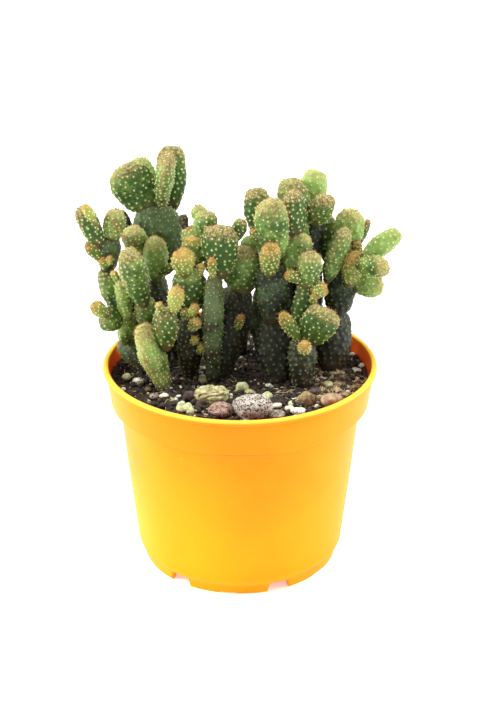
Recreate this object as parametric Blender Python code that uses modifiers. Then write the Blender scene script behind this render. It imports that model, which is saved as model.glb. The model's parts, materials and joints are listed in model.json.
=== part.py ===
"""Potted paddle cactus: a clump of small, plump pads growing in a 13 cm nursery pot.

The pot is turned about the Z axis and stands on six feet at Z = 0. The soil fills it to
just below the rim. Old pads stand in the soil, and every younger pad sprouts from the
skin of an older one. Metres, +Z up, with the viewer's side at -Y and +X to the right.
"""

import math
import random
from collections import namedtuple

import bmesh
import bpy
from mathutils import Matrix, Vector
from mathutils.bvhtree import BVHTree

OBJECT_NAME = "potted_paddle_cactus"
MM = 0.001

# Pot.
POT_HEIGHT = 100 * MM
RIM_RADIUS = 65 * MM
WALL = 1.3 * MM
LIP_HEIGHT = 2.6 * MM
LIP_OVERHANG = 1.4 * MM
COLLAR_HEIGHT = 18.5 * MM
COLLAR_TAPER = 2 * MM
COLLAR_STEP = 4.3 * MM
COLLAR_CHAMFER = 1.6 * MM
BODY_TAPER = 7.2 * MM
BASE_CURVE = 3 * MM
BASE_CURVE_HEIGHT = 5 * MM
FOOT_HEIGHT = 5 * MM
FOOT_WALL = 2.4 * MM
FLOOR_THICKNESS = 1.4 * MM
FOOT_COUNT = 6
FOOT_TURN = math.radians(-97)
NOTCH_ANGLE = math.radians(13)
NOTCH_HEIGHT = 4.5 * MM
NICK_ANGLE = math.radians(11)
NICK_HEIGHT = 0.7 * MM
DRAIN_HOLE_RADIUS = 3.5 * MM
DRAIN_HOLE_INSET = 10 * MM
CUTTER_MARGIN = 2 * MM
TURNING_STEPS = 48
MERGE = 1e-5

# Soil.
HEADSPACE = 8 * MM
SOIL_CLEARANCE = 0.3 * MM

# Pads.
PAD_GAP = 0.35 * MM
PAD_SINK = 0.2 * MM
PAD_FULLNESS = 2.5
NECK_SHARE = 0.66
NECK_REACH = 0.55
SMALL_PAD_LENGTH = 19 * MM
SETTLE_TRIES = 160
SETTLE_REACH = 7 * MM
LEAN_FROM = 0.3
SIDEWAYS_LEAST = 0.35

# Stones.
STONE_GAP = 0.3 * MM
STONE_ROUGHNESS = 0.12
STONE_SEED = 11

# A pad sprouts from its parent's skin at `along` (0 at the parent's foot, 1 at its tip) and
# `round` (degrees about the parent's length: 0 at its right edge, 90 on its face, 180 at its
# left edge, -90 on its back). `reach` runs from the pad's foot to its tip. `face` is the
# direction its broad side looks: 0 towards the viewer, 90 towards +X. Lengths are in mm.
Pad = namedtuple("Pad", "name parent along round reach width thickness face tint")

# A stem is an old pad that stands in the soil at `place`, measured from the pot's axis.
Stem = namedtuple("Stem", "name place reach width thickness face tint")

STEMS = [
    Stem("left_front_stem", (-44, 6), (-12, 9, 12), 14, 10, 30, "old"),
    Stem("left_main_stem", (-39, 7), (-3, 19, 43), 14, 10, 30, "old"),
    Stem("front_left_edge_pad", (-35, -13), (-11, 3, 30), 15, 9.5, 70, "mid"),
    Stem("inner_left_stem", (-24, 0), (1, 1, 32), 15, 10.5, 60, "old"),
    Stem("column_stem", (-13, -6), (1, 4, 53), 12, 8, 60, "old"),
    Stem("centre_stem", (-9, 0), (10, 11, 41), 16, 10, 20, "old"),
    Stem("centre_front_stem", (17, -7), (-1, 10, 29), 17.5, 10, 0, "old"),
    Stem("right_front_stem", (29, -12), (0, 7, 23), 14, 10, 40, "mid"),
    Stem("rear_right_stem", (32, 24), (2, -7, 52), 13, 9, 20, "old"),
    Stem("right_main_stem", (44, 7), (2, 13, 25), 17.5, 11, 10, "old"),
]

PADS = [
    Pad("left_front_stub", "left_front_stem", 0.86, 90, (0, -2, 14), 11, 8, 60, "mid"),
    Pad("left_outer_pad", "left_front_stub", 0.92, -90, (-7, 0, 23), 11, 8.5, 60, "mid"),
    Pad("left_edge_pad", "left_front_stub", 0.96, 120, (-4, -3, 22), 10, 6.5, 80, "mid"),
    Pad("left_round_pad", "left_front_stub", 0.92, -165, (-9, -4, 4), 12, 8, 10, "mid"),
    Pad("left_high_old_pad", "left_outer_pad", 0.98, 75, (1, -1, 16), 12, 9, 45, "old"),
    Pad("left_high_front_pad", "left_high_old_pad", 0.98, 60, (2, 0, 14), 9.5, 7.5, 20, "mid"),
    Pad("left_far_pad", "left_high_old_pad", 0.85, 180, (-8, 0, 18), 9, 7, 20, "mid"),
    Pad("left_low_pad", "left_main_stem", 0.40, 135, (-5, -4, 18), 11, 9, 30, "mid"),
    Pad("left_long_pad", "left_low_pad", 0.94, 105, (-7, -5, 28), 12, 9.5, 30, "mid"),
    Pad("left_upright_pad", "left_main_stem", 0.92, 105, (0, -5, 22), 11, 9, 20, "mid"),
    Pad("left_rear_fan", "left_main_stem", 0.98, 0, (-1, -3, 33), 24, 9, 0, "old"),
    Pad("left_rear_disc", "left_rear_fan", 0.98, -180, (-11, -1, 20), 21, 7, 5, "mid"),
    Pad("left_rear_tall_pad", "left_rear_fan", 0.94, -120, (-5, 7, 23), 13, 7, 30, "mid"),
    Pad("left_rear_edge_pad", "left_rear_fan", 0.98, -60, (-1, -4, 27), 13, 8, 80, "mid"),
    Pad("left_rear_oval_pad", "left_rear_fan", 0.94, -45, (1, 9, 27), 14, 7.5, -10, "mid"),
    Pad("left_rear_low_pad", "left_rear_fan", 0.38, 135, (-5, -7, 13), 11, 8.5, 10, "young"),
    Pad("front_left_pad", "front_left_edge_pad", 0.58, 75, (0, 0, 19), 12, 9, -30, "mid"),
    Pad("inner_left_pad", "inner_left_stem", 1.00, -180, (-1, -2, 23), 15, 10, 10, "mid"),
    Pad("inner_left_bud_pad", "inner_left_pad", 0.96, 120, (-1, -3, 11), 10, 8.5, 10, "young"),
    Pad("inner_left_rear_pad", "inner_left_pad", 0.96, -45, (-1, 0, 14), 11, 8, 20, "young"),
    Pad("inner_left_top_pad", "inner_left_rear_pad", 0.56, -75, (-1, 9, 7), 10, 7, 0, "mid"),
    Pad("inner_left_side_pad", "inner_left_rear_pad", 0.72, -30, (1, 2, 14), 11, 8, -20, "mid"),
    Pad("column_round_pad", "column_stem", 0.98, 45, (1, -1, 24), 16.5, 9, -10, "old"),
    Pad("centre_disc", "centre_stem", 0.98, 105, (-1, -1, 21), 19, 9.5, -5, "mid"),
    Pad("centre_old_pad", "centre_front_stem", 0.96, 90, (-1, 3, 27), 15.5, 10, 5, "old"),
    Pad("centre_small_pad", "centre_old_pad", 0.88, 105, (0, -4, 15), 9, 7, 30, "young"),
    Pad("centre_tall_pad", "centre_old_pad", 1.00, -180, (-1, -3, 32), 15, 10, 0, "mid"),
    Pad("centre_rear_pad", "centre_tall_pad", 0.32, -120, (-4, 6, 22), 13, 8, 10, "mid"),
    Pad("centre_right_pad", "centre_old_pad", 0.78, 0, (1, 4, 19), 12.5, 9, 0, "mid"),
    Pad("centre_pointed_pad", "centre_right_pad", 0.98, 150, (-3, 1, 20), 11, 8, 50, "mid"),
    Pad("centre_high_pad", "centre_right_pad", 0.76, -90, (-3, 5, 29), 14.5, 8, 0, "mid"),
    Pad("right_front_disc", "right_front_stem", 0.90, 90, (9, 0, 16), 17.5, 9, 10, "mid"),
    Pad("right_inner_pad", "right_front_stem", 0.98, -75, (3, 4, 25), 12, 9, 50, "mid"),
    Pad("right_inner_top_pad", "right_inner_pad", 0.98, 120, (1, -1, 16), 11, 8.5, 20, "young"),
    Pad("rear_right_high_stem", "rear_right_stem", 1.00, -180, (-2, 2, 23), 11, 8, 30, "old"),
    Pad("rear_right_pale_pad", "rear_right_high_stem", 0.98, -135, (1, 1, 19), 12.5, 8, 0, "young"),
    Pad("rear_right_side_pad", "rear_right_high_stem", 0.80, 120, (1, 0, 16), 11.5, 8, 20, "mid"),
    Pad("right_old_pad", "right_main_stem", 0.94, 90, (3, 11, 27), 16, 10.5, 0, "old"),
    Pad("right_dark_disc", "right_old_pad", 0.86, 165, (-3, 9, 20), 11.5, 8.5, 0, "old"),
    Pad("right_light_pad", "right_old_pad", 0.98, 75, (0, 0, 22), 14, 9, 10, "mid"),
    Pad("right_oblique_pad", "right_old_pad", 0.54, 135, (7, -4, 26), 12, 8.5, 60, "mid"),
    Pad("right_gold_pad", "right_old_pad", 0.52, 60, (1, -4, 16), 11, 8, 20, "young"),
    Pad("right_long_pad", "right_gold_pad", 0.86, 45, (16, 1, 13), 10, 7, 20, "young"),
    Pad("right_low_long_pad", "right_gold_pad", 0.74, 75, (14, -6, 4), 11, 7.5, 30, "young"),
    Pad("right_bright_disc", "right_old_pad", 0.44, 15, (11, -5, 5), 13.5, 8, 10, "young"),
]

# A stone lies on the soil at `place`, measured from the pot's axis, with its size in mm.
Stone = namedtuple("Stone", "name place size turn colour roughness")

STONES = [
    Stone("olive_pebble", (-13, -28), (16, 10, 7), -12, (0.32, 0.31, 0.17), 0.75),
    Stone("pumice_stone", (6, -43), (17, 12, 9), 5, (0.42, 0.36, 0.31), 0.95),
    Stone("smooth_stone", (42, -33), (11, 8, 6), 15, (0.36, 0.24, 0.19), 0.6),
]

PAD_TINTS = {
    "old": (0.045, 0.085, 0.045),
    "mid": (0.085, 0.17, 0.045),
    "young": (0.20, 0.27, 0.06),
}


def remove_everything():
    """Remove the objects and data blocks that the file starts with."""
    for obj in list(bpy.data.objects):
        bpy.data.objects.remove(obj, do_unlink=True)
    for mesh in list(bpy.data.meshes):
        bpy.data.meshes.remove(mesh)


def make_collection(name):
    """Return a new collection linked to the scene."""
    collection = bpy.data.collections.new(name)
    bpy.context.scene.collection.children.link(collection)
    return collection


def make_material(name, colour, roughness):
    """Return a Principled material with a plain colour."""
    material = bpy.data.materials.new(name)
    material.use_nodes = True
    shader = material.node_tree.nodes["Principled BSDF"]
    shader.inputs["Base Color"].default_value = (*colour, 1)
    shader.inputs["Roughness"].default_value = roughness
    shader.inputs["Metallic"].default_value = 0
    material.diffuse_color = (*colour, 1)
    return material


def add_object(name, mesh, material, collection):
    """Wrap a mesh in a named object with one material."""
    obj = bpy.data.objects.new(name, mesh)
    if material:
        mesh.materials.append(material)
    collection.objects.link(obj)
    return obj


def mesh_from(bm, name):
    """Turn a bmesh into a smooth-shaded mesh and free it."""
    bmesh.ops.recalc_face_normals(bm, faces=bm.faces)
    mesh = bpy.data.meshes.new(name)
    bm.to_mesh(mesh)
    bm.free()
    mesh.shade_smooth()
    return mesh


# Pot and soil.


def collar_bottom():
    """Height of the underside of the collar."""
    return POT_HEIGHT - COLLAR_HEIGHT


def body_top_radius():
    """Outer radius of the body where it meets the collar."""
    return RIM_RADIUS - LIP_OVERHANG - COLLAR_TAPER - COLLAR_STEP


def body_bottom_radius():
    """Outer radius of the body just above the curve of its base."""
    return body_top_radius() - BODY_TAPER


def foot_radius():
    """Outer radius of the foot ring."""
    return body_bottom_radius() - BASE_CURVE


def floor_top():
    """Height of the pot's inside floor."""
    return FOOT_HEIGHT + FLOOR_THICKNESS


def inner_wall():
    """Inside profile as (radius, height), from the floor's centre up to the rim."""
    step = collar_bottom()
    return [
        (0, floor_top()),
        (foot_radius() - FOOT_WALL, floor_top()),
        (body_bottom_radius() - WALL, floor_top() + BASE_CURVE),
        (body_top_radius() - WALL, step - COLLAR_CHAMFER),
        (body_top_radius() + COLLAR_STEP - WALL, step + WALL),
        (RIM_RADIUS - LIP_OVERHANG - WALL, POT_HEIGHT - LIP_HEIGHT),
        (RIM_RADIUS - LIP_OVERHANG - WALL, POT_HEIGHT - 0.3 * LIP_HEIGHT),
    ]


def outer_wall():
    """Outside profile as (radius, height), from the rim down to the middle of the underside."""
    lip = RIM_RADIUS
    collar = RIM_RADIUS - LIP_OVERHANG
    step = collar_bottom()
    foot = foot_radius()
    return [
        (collar, POT_HEIGHT),
        (lip - 0.3 * LIP_OVERHANG, POT_HEIGHT - 0.15 * LIP_HEIGHT),
        (lip, POT_HEIGHT - 0.5 * LIP_HEIGHT),
        (lip - 0.3 * LIP_OVERHANG, POT_HEIGHT - 0.85 * LIP_HEIGHT),
        (collar, POT_HEIGHT - LIP_HEIGHT),
        (collar - COLLAR_TAPER, step + 0.4 * WALL),
        (collar - COLLAR_TAPER - 0.4 * WALL, step),
        (body_top_radius(), step - COLLAR_CHAMFER),
        (body_bottom_radius(), FOOT_HEIGHT + BASE_CURVE_HEIGHT),
        (foot + 0.6 * BASE_CURVE, FOOT_HEIGHT + 0.35 * BASE_CURVE_HEIGHT),
        (foot + 0.25 * BASE_CURVE, 0.8 * FOOT_HEIGHT),
        (foot, 0),
        (foot - FOOT_WALL, 0),
        (foot - FOOT_WALL, FOOT_HEIGHT),
        (0, FOOT_HEIGHT),
    ]


def soil_top():
    """Height of the soil's surface."""
    return POT_HEIGHT - HEADSPACE


def soil_profile():
    """Profile of the soil, which stays one clearance inside the pot's wall and floor."""
    top = soil_top()
    below = []
    wall = inner_wall()
    for (r0, z0), (r1, z1) in zip(wall, wall[1:]):
        below.append((r0, z0))
        if z1 > top:
            share = (top - z0) / (z1 - z0)
            below.append((r0 + share * (r1 - r0), top))
            break
    side = [(max(r - SOIL_CLEARANCE, 0), z + SOIL_CLEARANCE) for r, z in below[:-1]]
    side.append((below[-1][0] - SOIL_CLEARANCE, top))
    return [(0, top)] + side[::-1]


def turned(name, profile, material, collection):
    """Turn a closed (radius, height) profile about the Z axis."""
    bm = bmesh.new()
    points = [bm.verts.new((radius, 0, height)) for radius, height in profile]
    for first, second in zip(points, points[1:]):
        bm.edges.new((first, second))
    mesh = bpy.data.meshes.new(name)
    bm.to_mesh(mesh)
    bm.free()
    obj = add_object(name, mesh, material, collection)
    screw = obj.modifiers.new("Turning", "SCREW")
    screw.axis = "Z"
    screw.steps = TURNING_STEPS
    screw.render_steps = TURNING_STEPS
    screw.use_merge_vertices = True
    screw.merge_threshold = MERGE
    screw.use_smooth_shade = True
    return obj


def make_wedge_cutter(name, angle, height, turn, collection):
    """Make one block per foot, each reaching through the foot ring over the given angle."""
    bm = bmesh.new()
    inner = foot_radius() - FOOT_WALL - CUTTER_MARGIN
    outer = body_bottom_radius() + CUTTER_MARGIN
    width = 2 * foot_radius() * math.sin(angle / 2)
    for index in range(FOOT_COUNT):
        block = bmesh.ops.create_cube(bm, size=1)["verts"]
        bmesh.ops.scale(bm, vec=(outer - inner, width, height + CUTTER_MARGIN), verts=block)
        middle = ((outer + inner) / 2, 0, (height - CUTTER_MARGIN) / 2)
        bmesh.ops.translate(bm, vec=middle, verts=block)
        heading = turn + index * math.tau / FOOT_COUNT
        bmesh.ops.rotate(bm, matrix=Matrix.Rotation(heading, 3, "Z"), verts=block)
    return add_cutter(name, bm, collection)


def make_drain_cutter(name, turn, collection):
    """Make one upright cylinder per drain hole, through the pot's floor."""
    bm = bmesh.new()
    depth = FLOOR_THICKNESS + 2 * CUTTER_MARGIN
    for index in range(FOOT_COUNT):
        pin = bmesh.ops.create_cone(
            bm,
            cap_ends=True,
            segments=16,
            radius1=DRAIN_HOLE_RADIUS,
            radius2=DRAIN_HOLE_RADIUS,
            depth=depth,
        )["verts"]
        distance = foot_radius() - FOOT_WALL - DRAIN_HOLE_INSET
        bmesh.ops.translate(bm, vec=(distance, 0, FOOT_HEIGHT + FLOOR_THICKNESS / 2), verts=pin)
        heading = turn + index * math.tau / FOOT_COUNT
        bmesh.ops.rotate(bm, matrix=Matrix.Rotation(heading, 3, "Z"), verts=pin)
    return add_cutter(name, bm, collection)


def add_cutter(name, bm, collection):
    """Add a bmesh as a hidden cutter object."""
    cutter = add_object(name, mesh_from(bm, name), None, collection)
    cutter.hide_render = True
    cutter.display_type = "WIRE"
    return cutter


def cut(obj, cutter):
    """Cut one object with another."""
    boolean = obj.modifiers.new(cutter.name, "BOOLEAN")
    boolean.operation = "DIFFERENCE"
    boolean.solver = "EXACT"
    boolean.object = cutter


def make_pot(collection, cutters):
    """Make the nursery pot with its rolled lip, collar, six feet and drain holes."""
    material = make_material("pot_plastic", (0.95, 0.45, 0.03), 0.4)
    pot = turned("pot", inner_wall() + outer_wall(), material, collection)
    between_feet = FOOT_TURN + math.pi / FOOT_COUNT
    cut(pot, make_wedge_cutter("notch_cutter", NOTCH_ANGLE, NOTCH_HEIGHT, between_feet, cutters))
    cut(pot, make_wedge_cutter("nick_cutter", NICK_ANGLE, NICK_HEIGHT, FOOT_TURN, cutters))
    cut(pot, make_drain_cutter("drain_cutter", between_feet, cutters))
    return pot


def make_soil(collection):
    """Make the body of potting soil that fills the pot."""
    material = make_material("potting_soil", (0.03, 0.02, 0.015), 1.0)
    return turned("soil", soil_profile(), material, collection)


# Stones and pads.


def make_stone(stone, rng, collection):
    """Make a rounded stone from a cube with shaken corners, lying on the soil."""
    bm = bmesh.new()
    bmesh.ops.create_cube(bm, size=1)
    bmesh.ops.subdivide_edges(bm, edges=bm.edges, cuts=1, use_grid_fill=True)
    for vert in bm.verts:
        vert.co = vert.co.normalized() * (1 + rng.uniform(-STONE_ROUGHNESS, STONE_ROUGHNESS))
    material = make_material(stone.name, stone.colour, stone.roughness)
    obj = add_object(stone.name, mesh_from(bm, stone.name), material, collection)
    add_subdivision(obj)
    fit_mesh(obj, [length * MM for length in stone.size])
    x, y = stone.place
    rest = soil_top() + STONE_GAP + stone.size[2] * MM / 2
    turn = Matrix.Rotation(math.radians(stone.turn), 4, "Z")
    obj.matrix_world = Matrix.Translation((x * MM, y * MM, rest)) @ turn
    return obj


def add_subdivision(obj):
    """Smooth a coarse cage with one level of subdivision."""
    smooth = obj.modifiers.new("Subdivision", "SUBSURF")
    smooth.levels = 1
    smooth.render_levels = 1


def evaluated_points(obj):
    """Return the object's evaluated vertices in its own space."""
    bpy.context.view_layer.update()
    evaluated = obj.evaluated_get(bpy.context.evaluated_depsgraph_get())
    mesh = evaluated.to_mesh()
    points = [vert.co.copy() for vert in mesh.vertices]
    evaluated.to_mesh_clear()
    return points


def fit_mesh(obj, size):
    """Scale and centre the cage so that the smoothed shape measures exactly `size`."""
    points = evaluated_points(obj)
    low = Vector([min(point[axis] for point in points) for axis in range(3)])
    high = Vector([max(point[axis] for point in points) for axis in range(3)])
    middle = (low + high) / 2
    for vert in obj.data.vertices:
        for axis in range(3):
            share = (vert.co[axis] - middle[axis]) / (high[axis] - low[axis])
            vert.co[axis] = share * size[axis]


def fullness(share):
    """Half-width of a pad, as a share of its widest, at a share of its length."""
    return max(0, 1 - abs(2 * share - 1) ** PAD_FULLNESS) ** (1 / PAD_FULLNESS)


def neck(share):
    """Narrowing of a pad towards its foot."""
    rise = min(share / NECK_REACH, 1)
    return NECK_SHARE + (1 - NECK_SHARE) * rise * rise * (3 - 2 * rise)


def pad_mesh(name, length):
    """Make a coarse pad cage: a sphere filled out towards its tip and narrowed at its foot."""
    bm = bmesh.new()
    rings = 4 if length < SMALL_PAD_LENGTH else 5
    bmesh.ops.create_uvsphere(bm, u_segments=6, v_segments=rings, radius=0.5)
    for vert in bm.verts:
        share = vert.co.z + 0.5
        ring = math.hypot(vert.co.x, vert.co.y)
        if ring > MERGE:
            swell = 0.5 * fullness(share) * neck(share) / ring
            vert.co.x *= swell
            vert.co.y *= swell
    return mesh_from(bm, name)


def pad_axes(reach, face):
    """Return a pad's right, back and length directions for its reach and facing angle."""
    length = Vector(reach).normalized()
    heading = math.radians(face)
    facing = Vector((math.sin(heading), -math.cos(heading), 0))
    facing = (facing - facing.dot(length) * length).normalized()
    return length.cross(facing), -facing, length


class GrowingPad:
    """A pad while it is being placed, with what is needed to keep it clear of the others."""

    def __init__(self, spec, foot, materials, collection):
        self.spec = spec
        self.length = Vector(spec.reach).length * MM
        self.width = spec.width * MM
        self.thickness = spec.thickness * MM
        self.obj = add_object(
            spec.name, pad_mesh(spec.name, self.length), materials[spec.tint], collection
        )
        add_subdivision(self.obj)
        fit_mesh(self.obj, (self.width, self.thickness, self.length))
        self.obj.data.transform(Matrix.Translation((0, 0, self.length / 2)))
        axes = pad_axes(spec.reach, spec.face)
        turn = Matrix(axes).transposed().to_4x4()
        self.matrix = Matrix.Translation(foot) @ turn
        self.shape = Shape(self.obj, Matrix.Identity(4))

    def seat(self, along, round_angle):
        """Return the point on the skin at a share of the length and an angle about it."""
        half = 0.5 * fullness(along) * neck(along)
        angle = math.radians(round_angle)
        across = self.width * half * math.cos(angle)
        back = -self.thickness * half * math.sin(angle)
        return self.matrix @ Vector((across, back, along * self.length))

    def clear_of(self, others):
        """Lean or shift the pad, a little at a time, until it is clear of all the others."""
        for _ in range(SETTLE_TRIES):
            push = self.hardest_push(others)
            if push is None:
                break
            self.give_way(*push)
        self.obj.matrix_world = self.matrix
        self.world = Shape(self.obj, self.matrix)

    def hardest_push(self, others):
        """Return where and how far the nearest other solid pushes this pad, or None."""
        points = [self.matrix @ point for point in self.shape.points]
        low, high = bounds(points)
        inverse = self.matrix.inverted()
        worst = None
        for other in others:
            if not other.near(low, high):
                continue
            for point in points:
                push = other.push_at(point)
                if push and (worst is None or push[1] > worst[2]):
                    worst = (point, push[0], push[1])
            for point in other.points_between(low, high):
                push = self.shape.push_at(inverse @ point)
                if push and (worst is None or push[1] > worst[2]):
                    worst = (point, -(self.matrix.to_3x3() @ push[0]), push[1])
        return worst

    def give_way(self, point, direction, depth):
        """Move the pad by one push: lean about its foot if it is hit high, or shift it."""
        foot = self.matrix.translation
        axis = self.matrix.col[2].to_3d()
        height = (point - foot).dot(axis)
        sideways = direction - direction.dot(axis) * axis
        if height > LEAN_FROM * self.length and sideways.length > SIDEWAYS_LEAST:
            angle = depth / (height * sideways.length)
            turn = Matrix.Rotation(angle, 4, axis.cross(sideways).normalized())
            about = Matrix.Translation(foot) @ turn @ Matrix.Translation(-foot)
            self.matrix = about @ self.matrix
        else:
            self.matrix = Matrix.Translation(direction * depth) @ self.matrix


class Shape:
    """The points and the nearest-surface tree of a solid, in one space."""

    def __init__(self, obj, matrix):
        bpy.context.view_layer.update()
        evaluated = obj.evaluated_get(bpy.context.evaluated_depsgraph_get())
        mesh = evaluated.to_mesh()
        self.points = [matrix @ vert.co for vert in mesh.vertices]
        faces = [tuple(polygon.vertices) for polygon in mesh.polygons]
        evaluated.to_mesh_clear()
        self.tree = BVHTree.FromPolygons(self.points, faces)
        self.low, self.high = bounds(self.points)

    def near(self, low, high):
        """Tell whether a box comes within one gap of this solid."""
        return all(
            self.low[axis] - PAD_GAP < high[axis] and low[axis] < self.high[axis] + PAD_GAP
            for axis in range(3)
        )

    def points_between(self, low, high):
        """Return this solid's points that lie in a box."""
        return [
            point
            for point in self.points
            if all(
                low[axis] - PAD_GAP < point[axis] < high[axis] + PAD_GAP for axis in range(3)
            )
        ]

    def push_at(self, point):
        """Return the way out and the distance needed for a point to be one gap clear."""
        nearest, normal, _, distance = self.tree.find_nearest(point, SETTLE_REACH)
        if nearest is None:
            return None
        outside = (point - nearest).dot(normal) >= 0
        short = PAD_GAP - (distance if outside else -distance)
        return (normal, short) if short > 0.02 * PAD_GAP else None


def bounds(points):
    """Return the low and high corners around some points."""
    low = [min(point[axis] for point in points) for axis in range(3)]
    high = [max(point[axis] for point in points) for axis in range(3)]
    return low, high


def grow_plant(fixed, collection):
    """Stand the stems in the soil and grow every pad from its parent, clear of the rest."""
    materials = {
        tint: make_material("cactus_" + tint, colour, 0.6) for tint, colour in PAD_TINTS.items()
    }
    solids = [Shape(obj, obj.matrix_world.copy()) for obj in fixed]
    grown = {}
    for stem in STEMS:
        foot = Vector((stem.place[0] * MM, stem.place[1] * MM, soil_top() + PAD_GAP))
        pad = GrowingPad(stem, foot, materials, collection)
        pad.clear_of(solids)
        solids.append(pad.world)
        grown[stem.name] = pad
    for spec in PADS:
        seat = grown[spec.parent].seat(spec.along, spec.round)
        foot = seat - Vector(spec.reach).normalized() * PAD_SINK
        pad = GrowingPad(spec, foot, materials, collection)
        pad.clear_of(solids)
        solids.append(pad.world)
        grown[spec.name] = pad


def main():
    """Build the potted cactus."""
    remove_everything()
    parts = make_collection(OBJECT_NAME)
    cutters = make_collection("cutters")
    rng = random.Random(STONE_SEED)
    fixed = [make_pot(parts, cutters), make_soil(parts)]
    fixed += [make_stone(stone, rng, parts) for stone in STONES]
    bpy.context.view_layer.update()
    grow_plant(fixed, parts)


main()
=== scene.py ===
"""A clump of dotted paddle cactus in a yellow nursery pot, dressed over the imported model.

The pads, buds, stones, soil and pot are modelled in detail in the places of their CAD nodes.
Lengths in the dataclasses are in millimetres, except for the studio's, which are in metres.
"""

import json
import logging
import math
import random
from dataclasses import dataclass, field
from enum import Enum
from typing import ClassVar

import bmesh
import bpy
import numpy as np
from mathutils import Matrix, Vector, noise
from mathutils.bvhtree import BVHTree
from mathutils.kdtree import KDTree


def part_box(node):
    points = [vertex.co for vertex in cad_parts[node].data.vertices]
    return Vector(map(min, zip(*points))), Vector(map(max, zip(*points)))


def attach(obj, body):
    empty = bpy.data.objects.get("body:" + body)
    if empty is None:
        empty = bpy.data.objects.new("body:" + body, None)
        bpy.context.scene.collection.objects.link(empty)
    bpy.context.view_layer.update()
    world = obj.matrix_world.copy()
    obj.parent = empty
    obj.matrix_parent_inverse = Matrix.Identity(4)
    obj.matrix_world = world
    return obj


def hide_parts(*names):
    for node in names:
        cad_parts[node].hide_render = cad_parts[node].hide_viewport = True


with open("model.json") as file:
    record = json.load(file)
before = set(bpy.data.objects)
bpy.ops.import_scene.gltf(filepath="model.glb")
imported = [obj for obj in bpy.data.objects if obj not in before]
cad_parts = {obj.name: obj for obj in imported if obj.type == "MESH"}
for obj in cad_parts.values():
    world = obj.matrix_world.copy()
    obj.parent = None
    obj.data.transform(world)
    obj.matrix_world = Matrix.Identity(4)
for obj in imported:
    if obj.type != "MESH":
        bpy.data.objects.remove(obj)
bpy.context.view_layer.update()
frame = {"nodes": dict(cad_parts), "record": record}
SLOTS = {part["node"]: part["material_slot"] for part in frame["record"]["subparts"]}

MM = 0.001
MERGE = 1e-6
LOG = logging.getLogger("potted_cactus")
Colour = tuple[float, float, float, float]


def tint(red: int, green: int, blue: int) -> Colour:
    """Return a shader colour from the everyday 0 to 255 scale.

    Args:
        red: Red share.
        green: Green share.
        blue: Blue share.

    Returns:
        The linear colour with full alpha.
    """
    shares = [value / 255 for value in (red, green, blue)]
    linear = [s / 12.92 if s <= 0.04045 else ((s + 0.055) / 1.055) ** 2.4 for s in shares]
    return (*linear, 1.0)


def smooth_rise(value: float, low: float, high: float) -> float:
    """Return 0 below low, 1 above high, and a smooth rise between them."""
    share = min(max((value - low) / (high - low), 0.0), 1.0)
    return share * share * (3 - 2 * share)


# --------------------------------------------------------------------------------------
# Shaders
# --------------------------------------------------------------------------------------


class Signal:
    """A value in a shader, with arithmetic that adds the Math nodes it needs."""

    def __init__(self, graph: "Graph", socket: bpy.types.NodeSocket) -> None:
        """Wrap one output socket of a graph."""
        self.graph = graph
        self.socket = socket

    def maths(self, operation: str, *values: "Signal | float") -> "Signal":
        """Return the result of a Math operation.

        Args:
            operation: The Math node's operation.
            *values: Its inputs, in order.

        Returns:
            The node's result.
        """
        return self.graph.add("ShaderNodeMath", {"operation": operation}, dict(enumerate(values)))

    def __add__(self, other: "Signal | float") -> "Signal":
        """Return self + other."""
        return self.maths("ADD", self, other)

    def __radd__(self, other: float) -> "Signal":
        """Return other + self."""
        return self.maths("ADD", other, self)

    def __sub__(self, other: "Signal | float") -> "Signal":
        """Return self - other."""
        return self.maths("SUBTRACT", self, other)

    def __rsub__(self, other: float) -> "Signal":
        """Return other - self."""
        return self.maths("SUBTRACT", other, self)

    def __mul__(self, other: "Signal | float") -> "Signal":
        """Return self * other."""
        return self.maths("MULTIPLY", self, other)

    def __rmul__(self, other: float) -> "Signal":
        """Return other * self."""
        return self.maths("MULTIPLY", other, self)

    def larger(self, other: "Signal | float") -> "Signal":
        """Return whichever of the two values is larger."""
        return self.maths("MAXIMUM", self, other)

    def rise(self, low: float, high: float) -> "Signal":
        """Return 0 below low, 1 above high, and a smooth rise between them."""
        return self.graph.add(
            "ShaderNodeMapRange",
            {"interpolation_type": "SMOOTHSTEP", "clamp": True},
            {0: self, 1: low, 2: high, 3: 0.0, 4: 1.0},
        )

    def fall(self, low: float, high: float) -> "Signal":
        """Return 1 below low, 0 above high, and a smooth fall between them."""
        return 1 - self.rise(low, high)


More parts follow.
